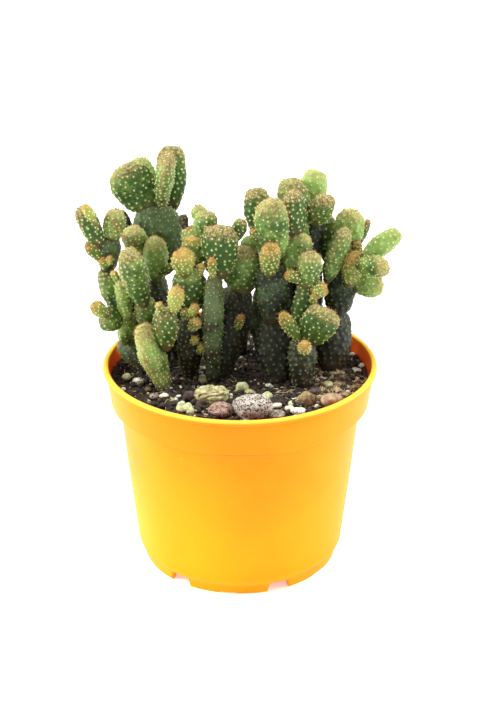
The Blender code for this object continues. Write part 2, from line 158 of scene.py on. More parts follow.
class Graph:
    """A material's node tree while it is put together."""

    def __init__(self, name: str) -> None:
        """Start an empty material.

        Args:
            name: The material's name.
        """
        self.material = bpy.data.materials.new(name)
        self.material.use_nodes = True
        self.tree = self.material.node_tree
        self.tree.nodes.clear()

    def add(
        self,
        kind: str,
        settings: dict | None = None,
        inputs: dict | None = None,
        output: int = 0,
    ) -> Signal:
        """Add any node: its settings first, then the values or links of its sockets.

        Args:
            kind: The node's type.
            settings: Its properties by name.
            inputs: Values or Signals by socket name or number.
            output: Which output to return.

        Returns:
            The chosen output.
        """
        node = self.tree.nodes.new(kind)
        for name, value in (settings or {}).items():
            setattr(node, name, value)
        for key, value in (inputs or {}).items():
            if isinstance(value, Signal):
                self.tree.links.new(value.socket, node.inputs[key])
            else:
                node.inputs[key].default_value = value
        return Signal(self, node.outputs[output] if node.outputs else None)

    def place(self) -> Signal:
        """Return the Object coordinates."""
        return self.add("ShaderNodeTexCoord", output=3)

    def mark(self, name: str) -> Signal:
        """Return a number stored on the mesh."""
        return self.add("ShaderNodeAttribute", {"attribute_name": name}, output=2)

    def grain(self, per_mm: float, detail: float = 3.0, rough: float = 0.5, shift: float = 0.0) -> Signal:
        """Return cloudy noise.

        Args:
            per_mm: Cycles in a millimetre.
            detail: Octaves.
            rough: Share of each finer octave.
            shift: Offset that sets one pattern apart from another.

        Returns:
            A value from 0 to 1, mostly near one half.
        """
        spot = self.place()
        if shift:
            spot = self.add(
                "ShaderNodeVectorMath", {"operation": "ADD"}, {0: spot, 1: (shift, shift, shift)}
            )
        return self.add(
            "ShaderNodeTexNoise",
            inputs={"Vector": spot, "Scale": per_mm / MM, "Detail": detail, "Roughness": rough},
        )

    def cells(self, per_mm: float) -> Signal:
        """Return the distance to the nearest point of a random cell pattern."""
        return self.add(
            "ShaderNodeTexVoronoi", inputs={"Vector": self.place(), "Scale": per_mm / MM}
        )

    def mix(
        self, share: "Signal | float", first: "Signal | Colour", second: "Signal | Colour"
    ) -> Signal:
        """Mix two colours.

        Args:
            share: How much of the second.
            first: The colour at 0.
            second: The colour at 1.

        Returns:
            The mixed colour.
        """
        settings = {"data_type": "RGBA", "blend_type": "MIX", "clamp_factor": True}
        return self.add("ShaderNodeMix", settings, {0: share, 6: first, 7: second}, 2)

    def relief(self, height: Signal, depth: float, strength: float = 1.0) -> Signal:
        """Return a normal raised by a height pattern.

        Args:
            height: The pattern, from 0 to 1.
            depth: Its height in millimetres.
            strength: Share of the effect.

        Returns:
            The bumped normal.
        """
        return self.add(
            "ShaderNodeBump", inputs={"Strength": strength, "Distance": depth * MM, "Height": height}
        )

    def surface(
        self,
        colour: "Signal | Colour",
        roughness: "Signal | float",
        normal: Signal | None = None,
        **fixed: float | Colour | tuple,
    ) -> bpy.types.Material:
        """Close the graph with its surface shader.

        Args:
            colour: Base colour.
            roughness: Roughness.
            normal: Bumped normal, if any.
            **fixed: Other sockets by name, with underscores for spaces.

        Returns:
            The finished material.
        """
        inputs: dict = {"Base Color": colour, "Roughness": roughness}
        if normal is not None:
            inputs["Normal"] = normal
        inputs.update({name.replace("_", " "): value for name, value in fixed.items()})
        shader = self.add("ShaderNodeBsdfPrincipled", inputs=inputs)
        self.add("ShaderNodeOutputMaterial", inputs={"Surface": shader})
        return self.material


# --------------------------------------------------------------------------------------
# Finishes
# --------------------------------------------------------------------------------------


@dataclass(frozen=True)
class PaddleSkin:
    """Waxy cactus skin, which reads the marks that a dressed pad carries."""

    name: str
    slot: str
    pale: Colour
    deep: Colour
    halo: Colour
    fuzz: Colour = tint(206, 166, 108)
    cork: Colour = tint(84, 66, 42)
    rust: Colour = tint(140, 92, 52)
    crown: float = 0.68

    def material(self) -> bpy.types.Material:
        """Return the skin's material."""
        graph = Graph(self.name)
        cloud = graph.grain(0.11, 4.0, 0.6)
        fleck = graph.grain(0.9, 3.0, 0.6, 3.0)
        tone = (graph.mark("tone") + (cloud - 0.5) * 2.0 + (fleck - 0.5) * 1.3).rise(0.0, 1.0)
        colour = graph.mix(tone, self.pale, self.deep)
        # Paler skin round each areole, on its tubercle: partly the skin's own colour, partly a painted
        # highlight on the bump, which leaves the skin between the tubercles deeper as painted shade.
        seat = graph.mark("areole")
        colour = graph.mix(seat.rise(0.5, 0.95) * 0.5, colour, self.halo)
        along = graph.mark("along")
        dusty = graph.grain(0.2, 4.0, 0.7, 11.0).rise(0.54, 0.72) * 0.3
        colour = graph.mix(dusty, colour, self.cork)
        worn = (along + (fleck - 0.5) * 0.35).fall(0.02, 0.16)
        colour = graph.mix(worn * 0.7, colour, self.cork)
        edge = graph.mark("rim").rise(0.5, 0.95) * (along + 0.2).rise(0.25, 0.85)
        crown = (along + (fleck - 0.5) * 0.7).rise(self.crown, self.crown + 0.3)
        felt = (edge * 0.8).larger(crown) * graph.mark("fuzz")
        speckle = graph.cells(1.0).fall(0.2, 0.62)
        colour = graph.mix(felt * (0.2 + speckle * 0.8), colour, self.fuzz)
        spots = graph.cells(1.5).fall(0.12, 0.4)
        colour = graph.mix(felt * spots * 0.75, colour, self.rust)
        scar = graph.grain(0.3, 4.0, 0.65, 7.0).rise(0.52, 0.64) * graph.mark("scar")
        colour = graph.mix(scar * 0.8, colour, self.rust)
        pores = graph.cells(2.2).rise(0.0, 0.5)
        height = pores * 0.35 + fleck * 0.65 + scar * 0.4 + speckle * felt * 0.8
        roughness = 0.44 + fleck * 0.14 + felt * 0.3 + scar * 0.2
        return graph.surface(
            colour, roughness, graph.relief(height, 0.22, 0.9), Specular_IOR_Level=0.3
        )


@dataclass(frozen=True)
class ArealFelt:
    """The woolly cushions and bristles of the areoles, cream when old and golden at the tips."""

    name: str = "Areole felt"
    cream: Colour = tint(232, 226, 172)
    gold: Colour = tint(222, 188, 132)
    rust: Colour = tint(146, 96, 58)
    # Partly painted shade: the dusty grey-brown that old pads' felt turns with their tone.
    dusty: Colour = tint(92, 92, 62)

    def material(self) -> bpy.types.Material:
        """Return the felt's material."""
        graph = Graph(self.name)
        warm = graph.mark("warm") + (graph.grain(1.4, 2.0) - 0.5) * 0.3
        colour = graph.mix(warm.rise(0.1, 0.65), self.cream, self.gold)
        colour = graph.mix(warm.rise(0.7, 1.1), colour, self.rust)
        # Partly painted shade: the felt on old pads dulls with their tone, both because old felt greys
        # and as shade deep in the clump.
        colour = graph.mix(graph.mark("age"), colour, self.dusty)
        height = graph.grain(6.0, 2.0, 0.7)
        return graph.surface(colour, 0.85 + height * 0.1, graph.relief(height, 0.08))


@dataclass(frozen=True)
class MouldedPlastic:
    """Satin yellow-orange plastic with the faint grain and scuffs of a nursery pot."""

    name: str = "Moulded pot plastic"
    colour: Colour = tint(252, 158, 0)
    # The deeper orange serves both the plastic's random cloudy mottling and the painted shade that
    # deepens it towards the collar.
    deep: Colour = tint(248, 124, 0)
    # Painted shade: the redder orange of the inner wall, which is the same plastic as the outside.
    inside: Colour = tint(255, 104, 34)
    scuff: Colour = tint(255, 204, 84)
    # Painted highlight: the paler yellow along the top of the lip.
    lip: Colour = tint(255, 200, 72)
    # Painted shade: the heights in millimetres between which the colour deepens towards the collar.
    painted_shade_from: float = 15.0
    painted_shade_to: float = 80.0

    def material(self) -> bpy.types.Material:
        """Return the plastic's material."""
        graph = Graph(self.name)
        cloud = graph.grain(0.02, 3.0)
        fine = graph.grain(1.6, 4.0, 0.65)
        streak = graph.grain(0.35, 5.0, 0.7, 2.0)
        height = graph.add("ShaderNodeSeparateXYZ", inputs={0: graph.place()}, output=2)
        # Painted shade: the plastic turns deeper orange from low on the body up to the collar.
        painted_upper_shade = height.rise(self.painted_shade_from * MM, self.painted_shade_to * MM) * 0.6
        colour = graph.mix(painted_upper_shade + cloud.rise(0.35, 0.7) * 0.25, self.colour, self.deep)
        # Painted shade: the inner wall is painted redder.
        colour = graph.mix(graph.mark("inside") * 0.85, colour, self.inside)
        # Painted highlight along the upward-facing top of the lip.
        colour = graph.mix(graph.mark("lip") * 0.7, colour, self.lip)
        worn = streak.rise(0.62, 0.76) * 0.25
        colour = graph.mix(worn, colour, self.scuff)
        roughness = 0.4 + fine * 0.12 + worn * 0.6
        return graph.surface(
            colour,
            roughness,
            graph.relief(fine, 0.03, 0.5),
            Subsurface_Weight=0.12,
            Subsurface_Scale=0.004,
            Subsurface_Radius=(1.0, 0.35, 0.02),
            Specular_IOR_Level=0.12,
        )


@dataclass(frozen=True)
class PottingMix:
    """Dark, moist, crumbly potting mix."""

    name: str = "Potting mix"
    dark: Colour = tint(18, 14, 10)
    mid: Colour = tint(60, 46, 32)
    dry: Colour = tint(132, 112, 84)

    def material(self) -> bpy.types.Material:
        """Return the soil's material."""
        graph = Graph(self.name)
        cloud = graph.grain(0.16, 5.0, 0.7)
        crumb = graph.cells(0.9)
        fine = graph.grain(2.4, 4.0, 0.75, 5.0)
        colour = graph.mix(cloud.rise(0.35, 0.72), self.dark, self.mid)
        colour = graph.mix(fine.rise(0.54, 0.7) * 0.8, colour, self.dry)
        height = crumb * 0.5 + fine * 0.5
        return graph.surface(colour, 0.72 + fine * 0.2, graph.relief(height, 0.9))


@dataclass(frozen=True)
class Mineral:
    """A stone's finish: two mottled tones, fine grain, and painted shade that darkens its pores and pits.
    """

    name: str
    pale: Colour
    dark: Colour
    painted_pore_shade: Colour
    mottle: float = 0.35
    pore_size: float = 0.0
    pore_share: float = 0.3
    grit: float = 0.25
    rough: float = 0.75

    def material(self) -> bpy.types.Material:
        """Return the stone's material."""
        graph = Graph(self.name)
        cloud = graph.grain(self.mottle, 5.0, 0.65)
        fine = graph.grain(2.2, 4.0, 0.7, 2.0)
        colour = graph.mix((cloud + (fine - 0.5) * 0.6).rise(0.36, 0.64), self.pale, self.dark)
        height = fine * 0.6 + cloud * 0.4
        # Painted shade: the pores are darkened as shaded holes.
        if self.pore_size:
            holes = graph.cells(1 / self.pore_size)
            uneven = holes + (graph.grain(1.1, 2.0, 0.5, 4.0) - 0.5) * 0.9
            pores = uneven.fall(self.pore_share * 0.6, self.pore_share)
            colour = graph.mix(pores, colour, self.painted_pore_shade)
            height = height - pores * 1.2
        # Painted shade: the pits are darkened towards the pore colour.
        pit = graph.mark("pit")
        colour = graph.mix(pit.rise(0.3, 0.9) * 0.9, colour, self.painted_pore_shade)
        return graph.surface(colour, self.rough + fine * 0.15, graph.relief(height, self.grit))


@dataclass(frozen=True)
class Fibre:
    """Dry coir and root fibres."""

    name: str = "Coir fibre"
    pale: Colour = tint(216, 192, 148)
    dark: Colour = tint(96, 72, 48)

    def material(self) -> bpy.types.Material:
        """Return the fibres' material."""
        graph = Graph(self.name)
        along = graph.grain(0.25, 3.0)
        fine = graph.grain(3.0, 2.0)
        colour = graph.mix(along.rise(0.4, 0.62), self.dark, self.pale)
        return graph.surface(colour, 0.8 + fine * 0.1, graph.relief(fine, 0.05))


@dataclass(frozen=True)
class StudioPaper:
    """The plain pale floor, which glows a little more where it curves up."""

    name: str = "Studio paper"
    colour: Colour = tint(250, 250, 248)
    glow: float = 0.78
    near: Colour = (0.47, 0.47, 0.47, 1.0)

    def material(self) -> bpy.types.Material:
        """Return the floor's material."""
        graph = Graph(self.name)
        fibre = graph.grain(0.4, 3.0)
        colour = graph.mix(fibre * 0.03, self.colour, tint(240, 240, 238))
        away = graph.add("ShaderNodeVectorMath", {"operation": "LENGTH"}, {0: graph.place()}, 1)
        return graph.surface(
            colour,
            0.85,
            graph.relief(fibre, 0.02),
            Emission_Color=graph.mix(away.rise(1.2, 3.6), self.near, (1.0, 1.0, 1.0, 1.0)),
            Emission_Strength=self.glow,
        )


class Palette:
    """Every finish, each made once and handed out by name."""

    def __init__(self) -> None:
        """Make the materials."""
        skins = (
            # The old skin's near-black deep colour is partly the old stems' own dark colour and partly
            # painted shade, for the stems deep in the clump that wear it at full tone.
            PaddleSkin(
                "Old paddle skin", "old_pad_skin",
                tint(84, 108, 66), tint(18, 26, 12), tint(88, 102, 60),
                fuzz=tint(120, 98, 64), cork=tint(46, 38, 26),
            ),
            PaddleSkin(
                "Green paddle skin", "green_pad_skin",
                tint(136, 166, 82), tint(40, 74, 14), tint(158, 176, 96),
                fuzz=tint(200, 170, 122),
            ),
            PaddleSkin(
                "Young paddle skin", "young_pad_skin",
                tint(156, 166, 76), tint(66, 98, 26), tint(180, 178, 96),
                fuzz=tint(206, 146, 82), crown=0.6,
            ),
        )
        self.skins = {skin.slot: skin.material() for skin in skins}
        self.felt = ArealFelt().material()
        self.plastic = MouldedPlastic().material()
        self.soil = PottingMix().material()
        self.fibre = Fibre().material()
        self.minerals = {
            stone.name: stone.material()
            for stone in (
                Mineral("Olive stone", tint(196, 190, 140), tint(112, 104, 66), tint(58, 50, 34), 0.45),
                Mineral(
                    "Pumice", tint(196, 188, 176), tint(146, 136, 124), tint(24, 22, 20),
                    0.3, 1.0, 0.44, 0.4,
                ),
                Mineral("Smooth stone", tint(178, 150, 112), tint(118, 98, 76), tint(90, 66, 52), 0.2,
                        grit=0.1, rough=0.6),
                Mineral("Lava", tint(182, 152, 132), tint(112, 84, 70), tint(40, 28, 24),
                        0.5, 0.8, 0.36, 0.5),
                Mineral("Dark rock", tint(106, 84, 80), tint(52, 38, 38), tint(20, 16, 16), 0.3,
                        grit=0.4),
                Mineral("Brown rock", tint(160, 138, 92), tint(84, 66, 42), tint(36, 28, 20), 0.3,
                        grit=0.4),
                Mineral("Grey pumice", tint(168, 158, 142), tint(104, 96, 84), tint(40, 34, 30),
                        0.4, 1.1, 0.36, 0.35),
                Mineral("Perlite", tint(240, 238, 222), tint(198, 192, 168), tint(120, 112, 92),
                        0.5, 0.8, 0.26, 0.25, 0.85),
                Mineral("Pale green stone", tint(206, 210, 162), tint(146, 152, 98), tint(92, 94, 60),
                        0.4, grit=0.3),
            )
        }


# --------------------------------------------------------------------------------------
# Mesh work
# --------------------------------------------------------------------------------------


class Workshop:
    """Turns meshes into finished pieces that ride on the pot."""

    @staticmethod
    def put(name: str, data: bpy.types.ID) -> bpy.types.Object:
        """Put a new object in the scene, at the origin.

        Args:
            name: Its name.
            data: Its mesh, curve, light or camera.

        Returns:
            The object.
        """
        made = bpy.data.objects.new(name, data)
        bpy.context.scene.collection.objects.link(made)
        return made

    @staticmethod
    def piece(
        name: str,
        mesh: bpy.types.Mesh,
        material: bpy.types.Material,
        slot: str,
        replaces: tuple[str, ...] = (),
    ) -> bpy.types.Object:
        """Make a piece at the origin, dressed and riding on the root body.

        Args:
            name: The piece's name.
            mesh: Its mesh, with its place in it.
            material: Its finish.
            slot: The record's material slot; not used.
            replaces: CAD nodes that it stands for.

        Returns:
            The new object.
        """
        mesh.name = name
        mesh.materials.clear()
        mesh.materials.append(material)
        mesh.shade_smooth()
        made = Workshop.put(name, mesh)
        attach(made, "root")
        if replaces:
            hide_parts(*replaces)
        return made

    @staticmethod
    def close(bm: bmesh.types.BMesh, name: str, turn_out: bool = False) -> bpy.types.Mesh:
        """Write a bmesh to a new mesh and free it.

        Args:
            bm: The bmesh.
            name: The mesh's name.
            turn_out: Whether to point all faces outwards first.

        Returns:
            The mesh.
        """
        if turn_out:
            bmesh.ops.recalc_face_normals(bm, faces=bm.faces)
        mesh = bpy.data.meshes.new(name)
        bm.to_mesh(mesh)
        bm.free()
        return mesh

    @staticmethod
    def merged_copy(node: str) -> bmesh.types.BMesh:
        """Return a CAD node's solid as one closed bmesh of mostly four-sided faces.

        Args:
            node: The node's name.

        Returns:
            The copy, which the caller closes.
        """
        bm = bmesh.new()
        bm.from_mesh(frame["nodes"][node].data)
        bmesh.ops.remove_doubles(bm, verts=bm.verts, dist=1e-5)
        bmesh.ops.join_triangles(
            bm, faces=bm.faces, angle_face_threshold=0.9, angle_shape_threshold=1.2
        )
        return bm

    @staticmethod
    def evaluated(holder: bpy.types.Object) -> bpy.types.Mesh:
        """Return an object's final mesh and remove the object.

        Args:
            holder: The object, with its modifiers or curve.

        Returns:
            The new mesh.
        """
        graph = bpy.context.evaluated_depsgraph_get()
        made = bpy.data.meshes.new_from_object(holder.evaluated_get(graph))
        bpy.data.objects.remove(holder)
        return made

    @classmethod
    def modified(cls, mesh: bpy.types.Mesh, kind: str, **settings: object) -> bpy.types.Mesh:
        """Return a mesh with a modifier applied to it.

        Args:
            mesh: The mesh, which is removed afterwards.
            kind: The modifier's type.
            **settings: Its settings.

        Returns:
            The new mesh.
        """
        holder = cls.put("holder", mesh)
        modifier = holder.modifiers.new(kind, kind)
        for name, value in settings.items():
            setattr(modifier, name, value)
        made = cls.evaluated(holder)
        bpy.data.meshes.remove(mesh)
        return made

    @staticmethod
    def turned(profile: list[tuple[float, float]], steps: int) -> bmesh.types.BMesh:
        """Return a profile turned round the Z axis into a closed skin.

        Args:
            profile: Points as (radius, height) in metres, from the axis back to the axis.
            steps: How many faces go round.

        Returns:
            The skin, which the caller closes.
        """
        bm = bmesh.new()
        outline = [bm.verts.new((radius, 0, height)) for radius, height in profile]
        for first, second in zip(outline, outline[1:]):
            bm.edges.new((first, second))
        bmesh.ops.spin(
            bm,
            geom=list(bm.verts) + list(bm.edges),
            cent=(0, 0, 0),
            axis=(0, 0, 1),
            dvec=(0, 0, 0),
            angle=math.tau,
            steps=steps,
            use_merge=True,
            use_duplicate=False,
        )
        bmesh.ops.remove_doubles(bm, verts=bm.verts, dist=MERGE)
        return bm

    @classmethod
    def rounded(cls, mesh: bpy.types.Mesh, levels: int) -> bpy.types.Mesh:
        """Return a mesh rounded by subdivision."""
        return cls.modified(mesh, "SUBSURF", levels=levels, render_levels=levels)

    @staticmethod
    def tree(mesh: bpy.types.Mesh) -> BVHTree:
        """Return a search tree of a mesh."""
        return BVHTree.FromPolygons(
            [v.co for v in mesh.vertices], [p.vertices[:] for p in mesh.polygons]
        )

    @staticmethod
    def points(mesh: bpy.types.Mesh) -> np.ndarray:
        """Return a mesh's vertex places.

        Args:
            mesh: The mesh.

        Returns:
            One row of X, Y and Z for each vertex.
        """
        flat = np.zeros(len(mesh.vertices) * 3, np.float32)
        mesh.vertices.foreach_get("co", flat)
        return flat.reshape(-1, 3).astype(float)

    @staticmethod
    def normals(mesh: bpy.types.Mesh) -> np.ndarray:
        """Return a mesh's vertex normals.

        Args:
            mesh: The mesh.

        Returns:
            One row of X, Y and Z for each vertex.
        """
        flat = np.zeros(len(mesh.vertices) * 3, np.float32)
        mesh.vertices.foreach_get("normal", flat)
        return flat.reshape(-1, 3).astype(float)

    @staticmethod
    def move(mesh: bpy.types.Mesh, points: np.ndarray) -> None:
        """Put a mesh's vertices at new places."""
        mesh.vertices.foreach_set("co", points.astype(np.float32).ravel())
        mesh.update()

    @staticmethod
    def mark(mesh: bpy.types.Mesh, name: str, values: np.ndarray) -> None:
        """Store a number on each vertex, for the shaders to read."""
        layer = mesh.attributes.new(name, "FLOAT", "POINT")
        layer.data.foreach_set("value", values.astype(np.float32))


def clouds(points: np.ndarray, size: float, seed: float = 0.0, octaves: int = 1) -> np.ndarray:
    """Return smooth noise at each point.

    Args:
        points: Places in metres.
        size: Width of a lump in millimetres.
        seed: Shift that sets one pattern apart from another.
        octaves: How many layers of lumps, each half the size and height of the last.

    Returns:
        Values from -1 to 1, mostly near 0.
    """
    scaled = points / (size * MM) + seed
    return np.array([noise.fractal(Vector(place), 1.0, 2.0, octaves) for place in scaled])


# --------------------------------------------------------------------------------------
# Cactus
# --------------------------------------------------------------------------------------


class Skin(Enum):
    """Which of the record's skins a pad wears."""

    OLD = "old_pad_skin"
    GREEN = "green_pad_skin"
    YOUNG = "young_pad_skin"


@dataclass(frozen=True)
class Growth:
    """How one pad looks: its age, tip fuzz, scars and areole spacing."""

    skin: Skin = Skin.GREEN
    tone: float = 0.5
    fuzz: float = 0.5
    scar: float = 0.0
    spacing: float = 3.0


@dataclass
class Grip:
    """A pad's own frame: where its foot is and which way it runs, spreads and faces.

    A pad whose spread along its long axis is over `slender` times that across it runs along
    that axis, and any other runs straight away from its foot. A pad turned so far that its
    facing has less than `side_on` of Y counts as seen from the right.
    """

    side_on: ClassVar[float] = 0.1
    slender: ClassVar[float] = 1.45
    foot: Vector
    along: Vector
    across: Vector
    facing: Vector
    length: float
    width: float
    thickness: float

    @classmethod
    def measured(cls, points: np.ndarray, root: Vector) -> "Grip":
        """Find a pad's frame from its skin.

        Args:
            points: The skin's vertices.
            root: A place near its foot.

        Returns:
            The pad's frame, whose facing looks towards -Y.
        """
        middle = (points.max(0) + points.min(0)) / 2
        spread = points - points.mean(0)
        values, axes = np.linalg.eigh(spread.T @ spread)
        facing = axes[:, 0]
        if abs(facing[1]) < cls.side_on:
            facing = facing * (1 if facing[0] > 0 else -1)
        else:
            facing = facing * (-1 if facing[1] > 0 else 1)
        towards = middle - np.array(root)
        if values[2] > cls.slender * values[1]:
            along = axes[:, 2] * (1 if axes[:, 2] @ towards > 0 else -1)
        else:
            along = towards - facing * (towards @ facing)
            along = along / np.linalg.norm(along)
        across = np.cross(along, facing)
        reach = spread @ np.stack([across, facing, along]).T
        low, high = reach.min(0), reach.max(0)
        centre = points.mean(0) + (low + high) / 2 @ np.stack([across, facing, along])
        size = high - low
        foot = centre - along * size[2] / 2
        return cls(
            Vector(foot), Vector(along), Vector(across), Vector(facing), size[2], size[0], size[1]
        )

    def shares(self, points: np.ndarray) -> np.ndarray:
        """Return how far along the pad each point is, 0 at the foot and 1 at the tip."""
        return (points - np.array(self.foot)) @ np.array(self.along) / self.length

    def rim(self, normals: np.ndarray) -> np.ndarray:
        """Return how much each normal looks out of the pad's edge, 0 on its face."""
        return 1 - np.abs(normals @ np.array(self.facing))

    def seat(self, tree: BVHTree, along: float, angle: float) -> tuple[Vector, Vector] | None:
        """Find a place on the skin.

        Args:
            tree: The skin.
            along: Share of the length.
            angle: Radians about the length, 0 at the right edge and a quarter turn on the face.

        Returns:
            The place and the outward normal, or None if the ray misses.
        """
        centre = self.foot + self.along * (along * self.length)
        ray = self.across * math.cos(angle) + self.facing * math.sin(angle)
        hit, normal, _, _ = tree.ray_cast(centre, ray)
        if hit is None:
            return None
        return hit, normal if normal.dot(ray) > 0 else -normal


@dataclass
class Paddle:
    """One pad: its smooth body, its tubercles and its areoles.

    The skin stands out by `plump`, with lumps `swell_size` wide and up to `unevenness` high,
    and by less on a pad narrower than `full_width`. `root` is how far the foot is pushed into
    what it grows from, over `root_share` of the length. Areoles stand in rings `ring_pitch` of
    their spacing apart, which close up by `crowding` at the tip. Each strays from its place by
    up to `stray` of a step round its ring and `height_stray` of the spacing along the pad.
    Bristles lean by `bristle_lean` degrees.
    """

    name: str
    mesh: bpy.types.Mesh
    grip: Grip
    look: Growth
    slot: str
    replaces: tuple[str, ...] = ()
    tubercle: float = 0.42
    tubercle_radius: float = 1.15
    unevenness: float = 0.8
    swell_size: float = 8.0
    full_width: float = 14.0
    plump: float = 0.5
    wool_radius: float = 0.34
    wool_lift: float = 0.75
    bristle_length: float = 1.1
    bristle_radii: tuple[float, float] = (0.08, 0.015)
    bristle_lean: tuple[float, float] = (10, 55)
    root: float = 2.8
    root_share: float = 0.42
    # Painted shade: how much darker the pad's tone grows towards its foot.
    foot_painted_shade: float = 0.1
    crowding: float = 0.38
    ring_pitch: float = 0.8
    stray: float = 0.24
    height_stray: float = 0.22
    last_seat: float = 0.985
    seed: int = 0
    seats: list[tuple[Vector, Vector, float, float]] = field(default_factory=list)

    def grow(self, palette: Palette) -> None:
        """Shape and dress the pad, then cover it with areoles.

        Args:
            palette: The finishes.
        """
        draw = random.Random(self.name)
        self.seed = draw.randrange(1000)
        self.shape_body()
        self.lay_seats(draw)
        self.raise_tubercles()
        skin = palette.skins[self.look.skin.value]
        Workshop.piece(self.name, self.mesh, skin, self.slot, self.replaces)
        self.plant_areoles(draw, palette)

    def shape_body(self) -> None:
        """Make the skin uneven and push its foot into what it grows from."""
        points = Workshop.points(self.mesh)
        normals = Workshop.normals(self.mesh)
        small = min(self.grip.width / (self.full_width * MM), 1.0)
        swell = clouds(points, self.swell_size, self.seed, 3) * self.unevenness + self.plump
        swell = swell * MM * small
        points += normals * swell[:, None]
        share = self.grip.shares(points)
        sink = np.clip(1 - share / self.root_share, 0, 1) ** 1.2 * self.root * MM
        points -= sink[:, None] * np.array(self.grip.along)
        Workshop.move(self.mesh, points)

    def lay_seats(self, draw: random.Random) -> None:
        """Choose the areoles' places, in staggered rings that crowd towards the tip.

        Args:
            draw: The pad's random source.
        """
        tree = Workshop.tree(self.mesh)
        spacing = self.look.spacing * MM
        share = draw.uniform(0.4, 0.8) * spacing / self.grip.length
        ring = 0
        while share < 1.0:
            crowd = 1 - self.crowding * smooth_rise(share, 0.72, 0.95)
            girth = self.girth(tree, share)
            count = max(round(girth / (spacing * crowd)), 3 if share < 0.97 else 1)
            for number in range(count):
                stray = draw.uniform(-self.stray, self.stray)
                turn = (number + 0.5 * (ring % 2) + stray) / count
                stray = draw.uniform(-self.height_stray, self.height_stray)
                height = share + stray * spacing / self.grip.length
                found = self.grip.seat(tree, min(height, self.last_seat), self.even_turn(turn))
                if found is not None:
                    self.keep_seat(found, height)
            share += self.ring_pitch * spacing * crowd / self.grip.length
            ring += 1

    def even_turn(self, turn: float) -> float:
        """Return the angle of a share of the girth, spaced evenly round a flat oval."""
        flatness = self.grip.thickness / self.grip.width
        angle = turn * math.tau
        return math.atan2(math.sin(angle) * flatness, math.cos(angle))

    def girth(self, tree: BVHTree, share: float) -> float:
        """Return the way round the pad.

        Args:
            tree: The skin.
            share: Where, as a share of the length.

        Returns:
            The girth in metres, or 0 where there is no skin.
        """
        found = [self.grip.seat(tree, min(share, 0.97), math.tau * i / 16) for i in range(16)]
        hits = [pair[0] for pair in found if pair is not None]
        if len(hits) < 3:
            return 0.0
        return sum((b - a).length for a, b in zip(hits, hits[1:] + hits[:1]))

    def keep_seat(self, found: tuple[Vector, Vector], share: float) -> None:
        """Keep an areole's place, with how golden it is and how close to an edge.

        Args:
            found: Its place and outward normal.
            share: How far along the pad it is.
        """
        place, normal = found
        edge = 1 - abs(normal.dot(self.grip.facing))
        crown = smooth_rise(share, 0.7, 0.98)
        warm = self.look.fuzz * max(crown, 0.55 * edge * smooth_rise(share, 0.3, 0.8))
        self.seats.append((place, normal, warm, max(crown, 0.7 * edge)))

    def raise_tubercles(self) -> None:
        """Lift the skin under each areole and store the marks that the shader reads."""
        points = Workshop.points(self.mesh)
        normals = Workshop.normals(self.mesh)
        finder = KDTree(max(len(self.seats), 1))
        for index, (place, _, _, _) in enumerate(self.seats):
            finder.insert(place, index)
        finder.balance()
        if self.seats:
            away = np.array([finder.find(Vector(point))[2] for point in points]) / MM
        else:
            away = np.full(len(points), np.inf)
        near = np.exp(-((away / self.tubercle_radius) ** 2))
        share = self.grip.shares(points)
        rim = self.grip.rim(normals)
        points += normals * (near * self.tubercle * MM)[:, None]
        Workshop.move(self.mesh, points)
        Workshop.mark(self.mesh, "areole", near)
        Workshop.mark(self.mesh, "along", np.clip(share, 0, 1))
        Workshop.mark(self.mesh, "rim", rim)
        # Painted shade: the tone deepens towards the foot, so the pad darkens near what it grows from.
        Workshop.mark(self.mesh, "tone", self.look.tone + self.foot_painted_shade * np.clip(1 - share, 0, 1))
        for name in ("fuzz", "scar"):
            Workshop.mark(self.mesh, name, np.full(len(points), getattr(self.look, name)))

    def plant_areoles(self, draw: random.Random, palette: Palette) -> None:
        """Set a woolly cushion and some bristles on every seat.

        Args:
            draw: The pad's random source.
            palette: The finishes.
        """
        bm = bmesh.new()
        warm_layer = bm.verts.layers.float.new("warm")
        old = self.look.skin is Skin.OLD
        for place, normal, warm, edge in self.seats:
            turn = normal.to_track_quat("Z", "X").to_matrix().to_4x4()
            lifted = Matrix.Translation(place + normal * self.tubercle * self.wool_lift * MM) @ turn
            radius = self.wool_radius * draw.uniform(0.8, 1.2) * (0.7 if old else 1.0) * MM
            cushion = bmesh.ops.create_icosphere(
                bm,
                subdivisions=1,
                radius=radius,
                matrix=lifted @ Matrix.Rotation(draw.uniform(0, math.tau), 4, "Z")
                @ Matrix.Diagonal((1, draw.uniform(0.8, 1.1), 0.75, 1)),
            )["verts"]
            for vert in cushion:
                vert[warm_layer] = warm
            for _ in range(2 + round(7 * edge)):
                for vert in self.bristle(bm, lifted, warm, draw):
                    vert[warm_layer] = min(warm + 0.35, 1.0)
        if not self.seats:
            bm.free()
            return
        mesh = Workshop.close(bm, f"{self.name}_areoles")
        # The felt of old pads dulls with their tone: partly its greying, partly painted shade.
        age = min(self.look.tone, 1.0) * 0.85 if old else 0.0
        Workshop.mark(mesh, "age", np.full(len(mesh.vertices), age))
        Workshop.piece(f"{self.name}_areoles", mesh, palette.felt, self.slot)

    def bristle(
        self, bm: bmesh.types.BMesh, seat: Matrix, warm: float, draw: random.Random
    ) -> list[bmesh.types.BMVert]:
        """Add one fine bristle that leans out of an areole.

        Args:
            bm: The areoles' bmesh.
            seat: The areole's frame.
            warm: How golden it is.
            draw: The pad's random source.

        Returns:
            The bristle's vertices.
        """
        length = self.bristle_length * draw.uniform(0.5, 1.0) * (0.7 + 0.5 * warm) * MM
        lean = Matrix.Rotation(draw.uniform(0, math.tau), 4, "Z")
        lean = lean @ Matrix.Rotation(math.radians(draw.uniform(*self.bristle_lean)), 4, "X")
        made = bmesh.ops.create_cone(
            bm,
            cap_ends=True,
            segments=3,
            radius1=self.bristle_radii[0] * MM,
            radius2=self.bristle_radii[1] * MM,
            depth=length,
            matrix=seat @ lean @ Matrix.Translation((0, 0, length / 2)),
        )
        return made["verts"]


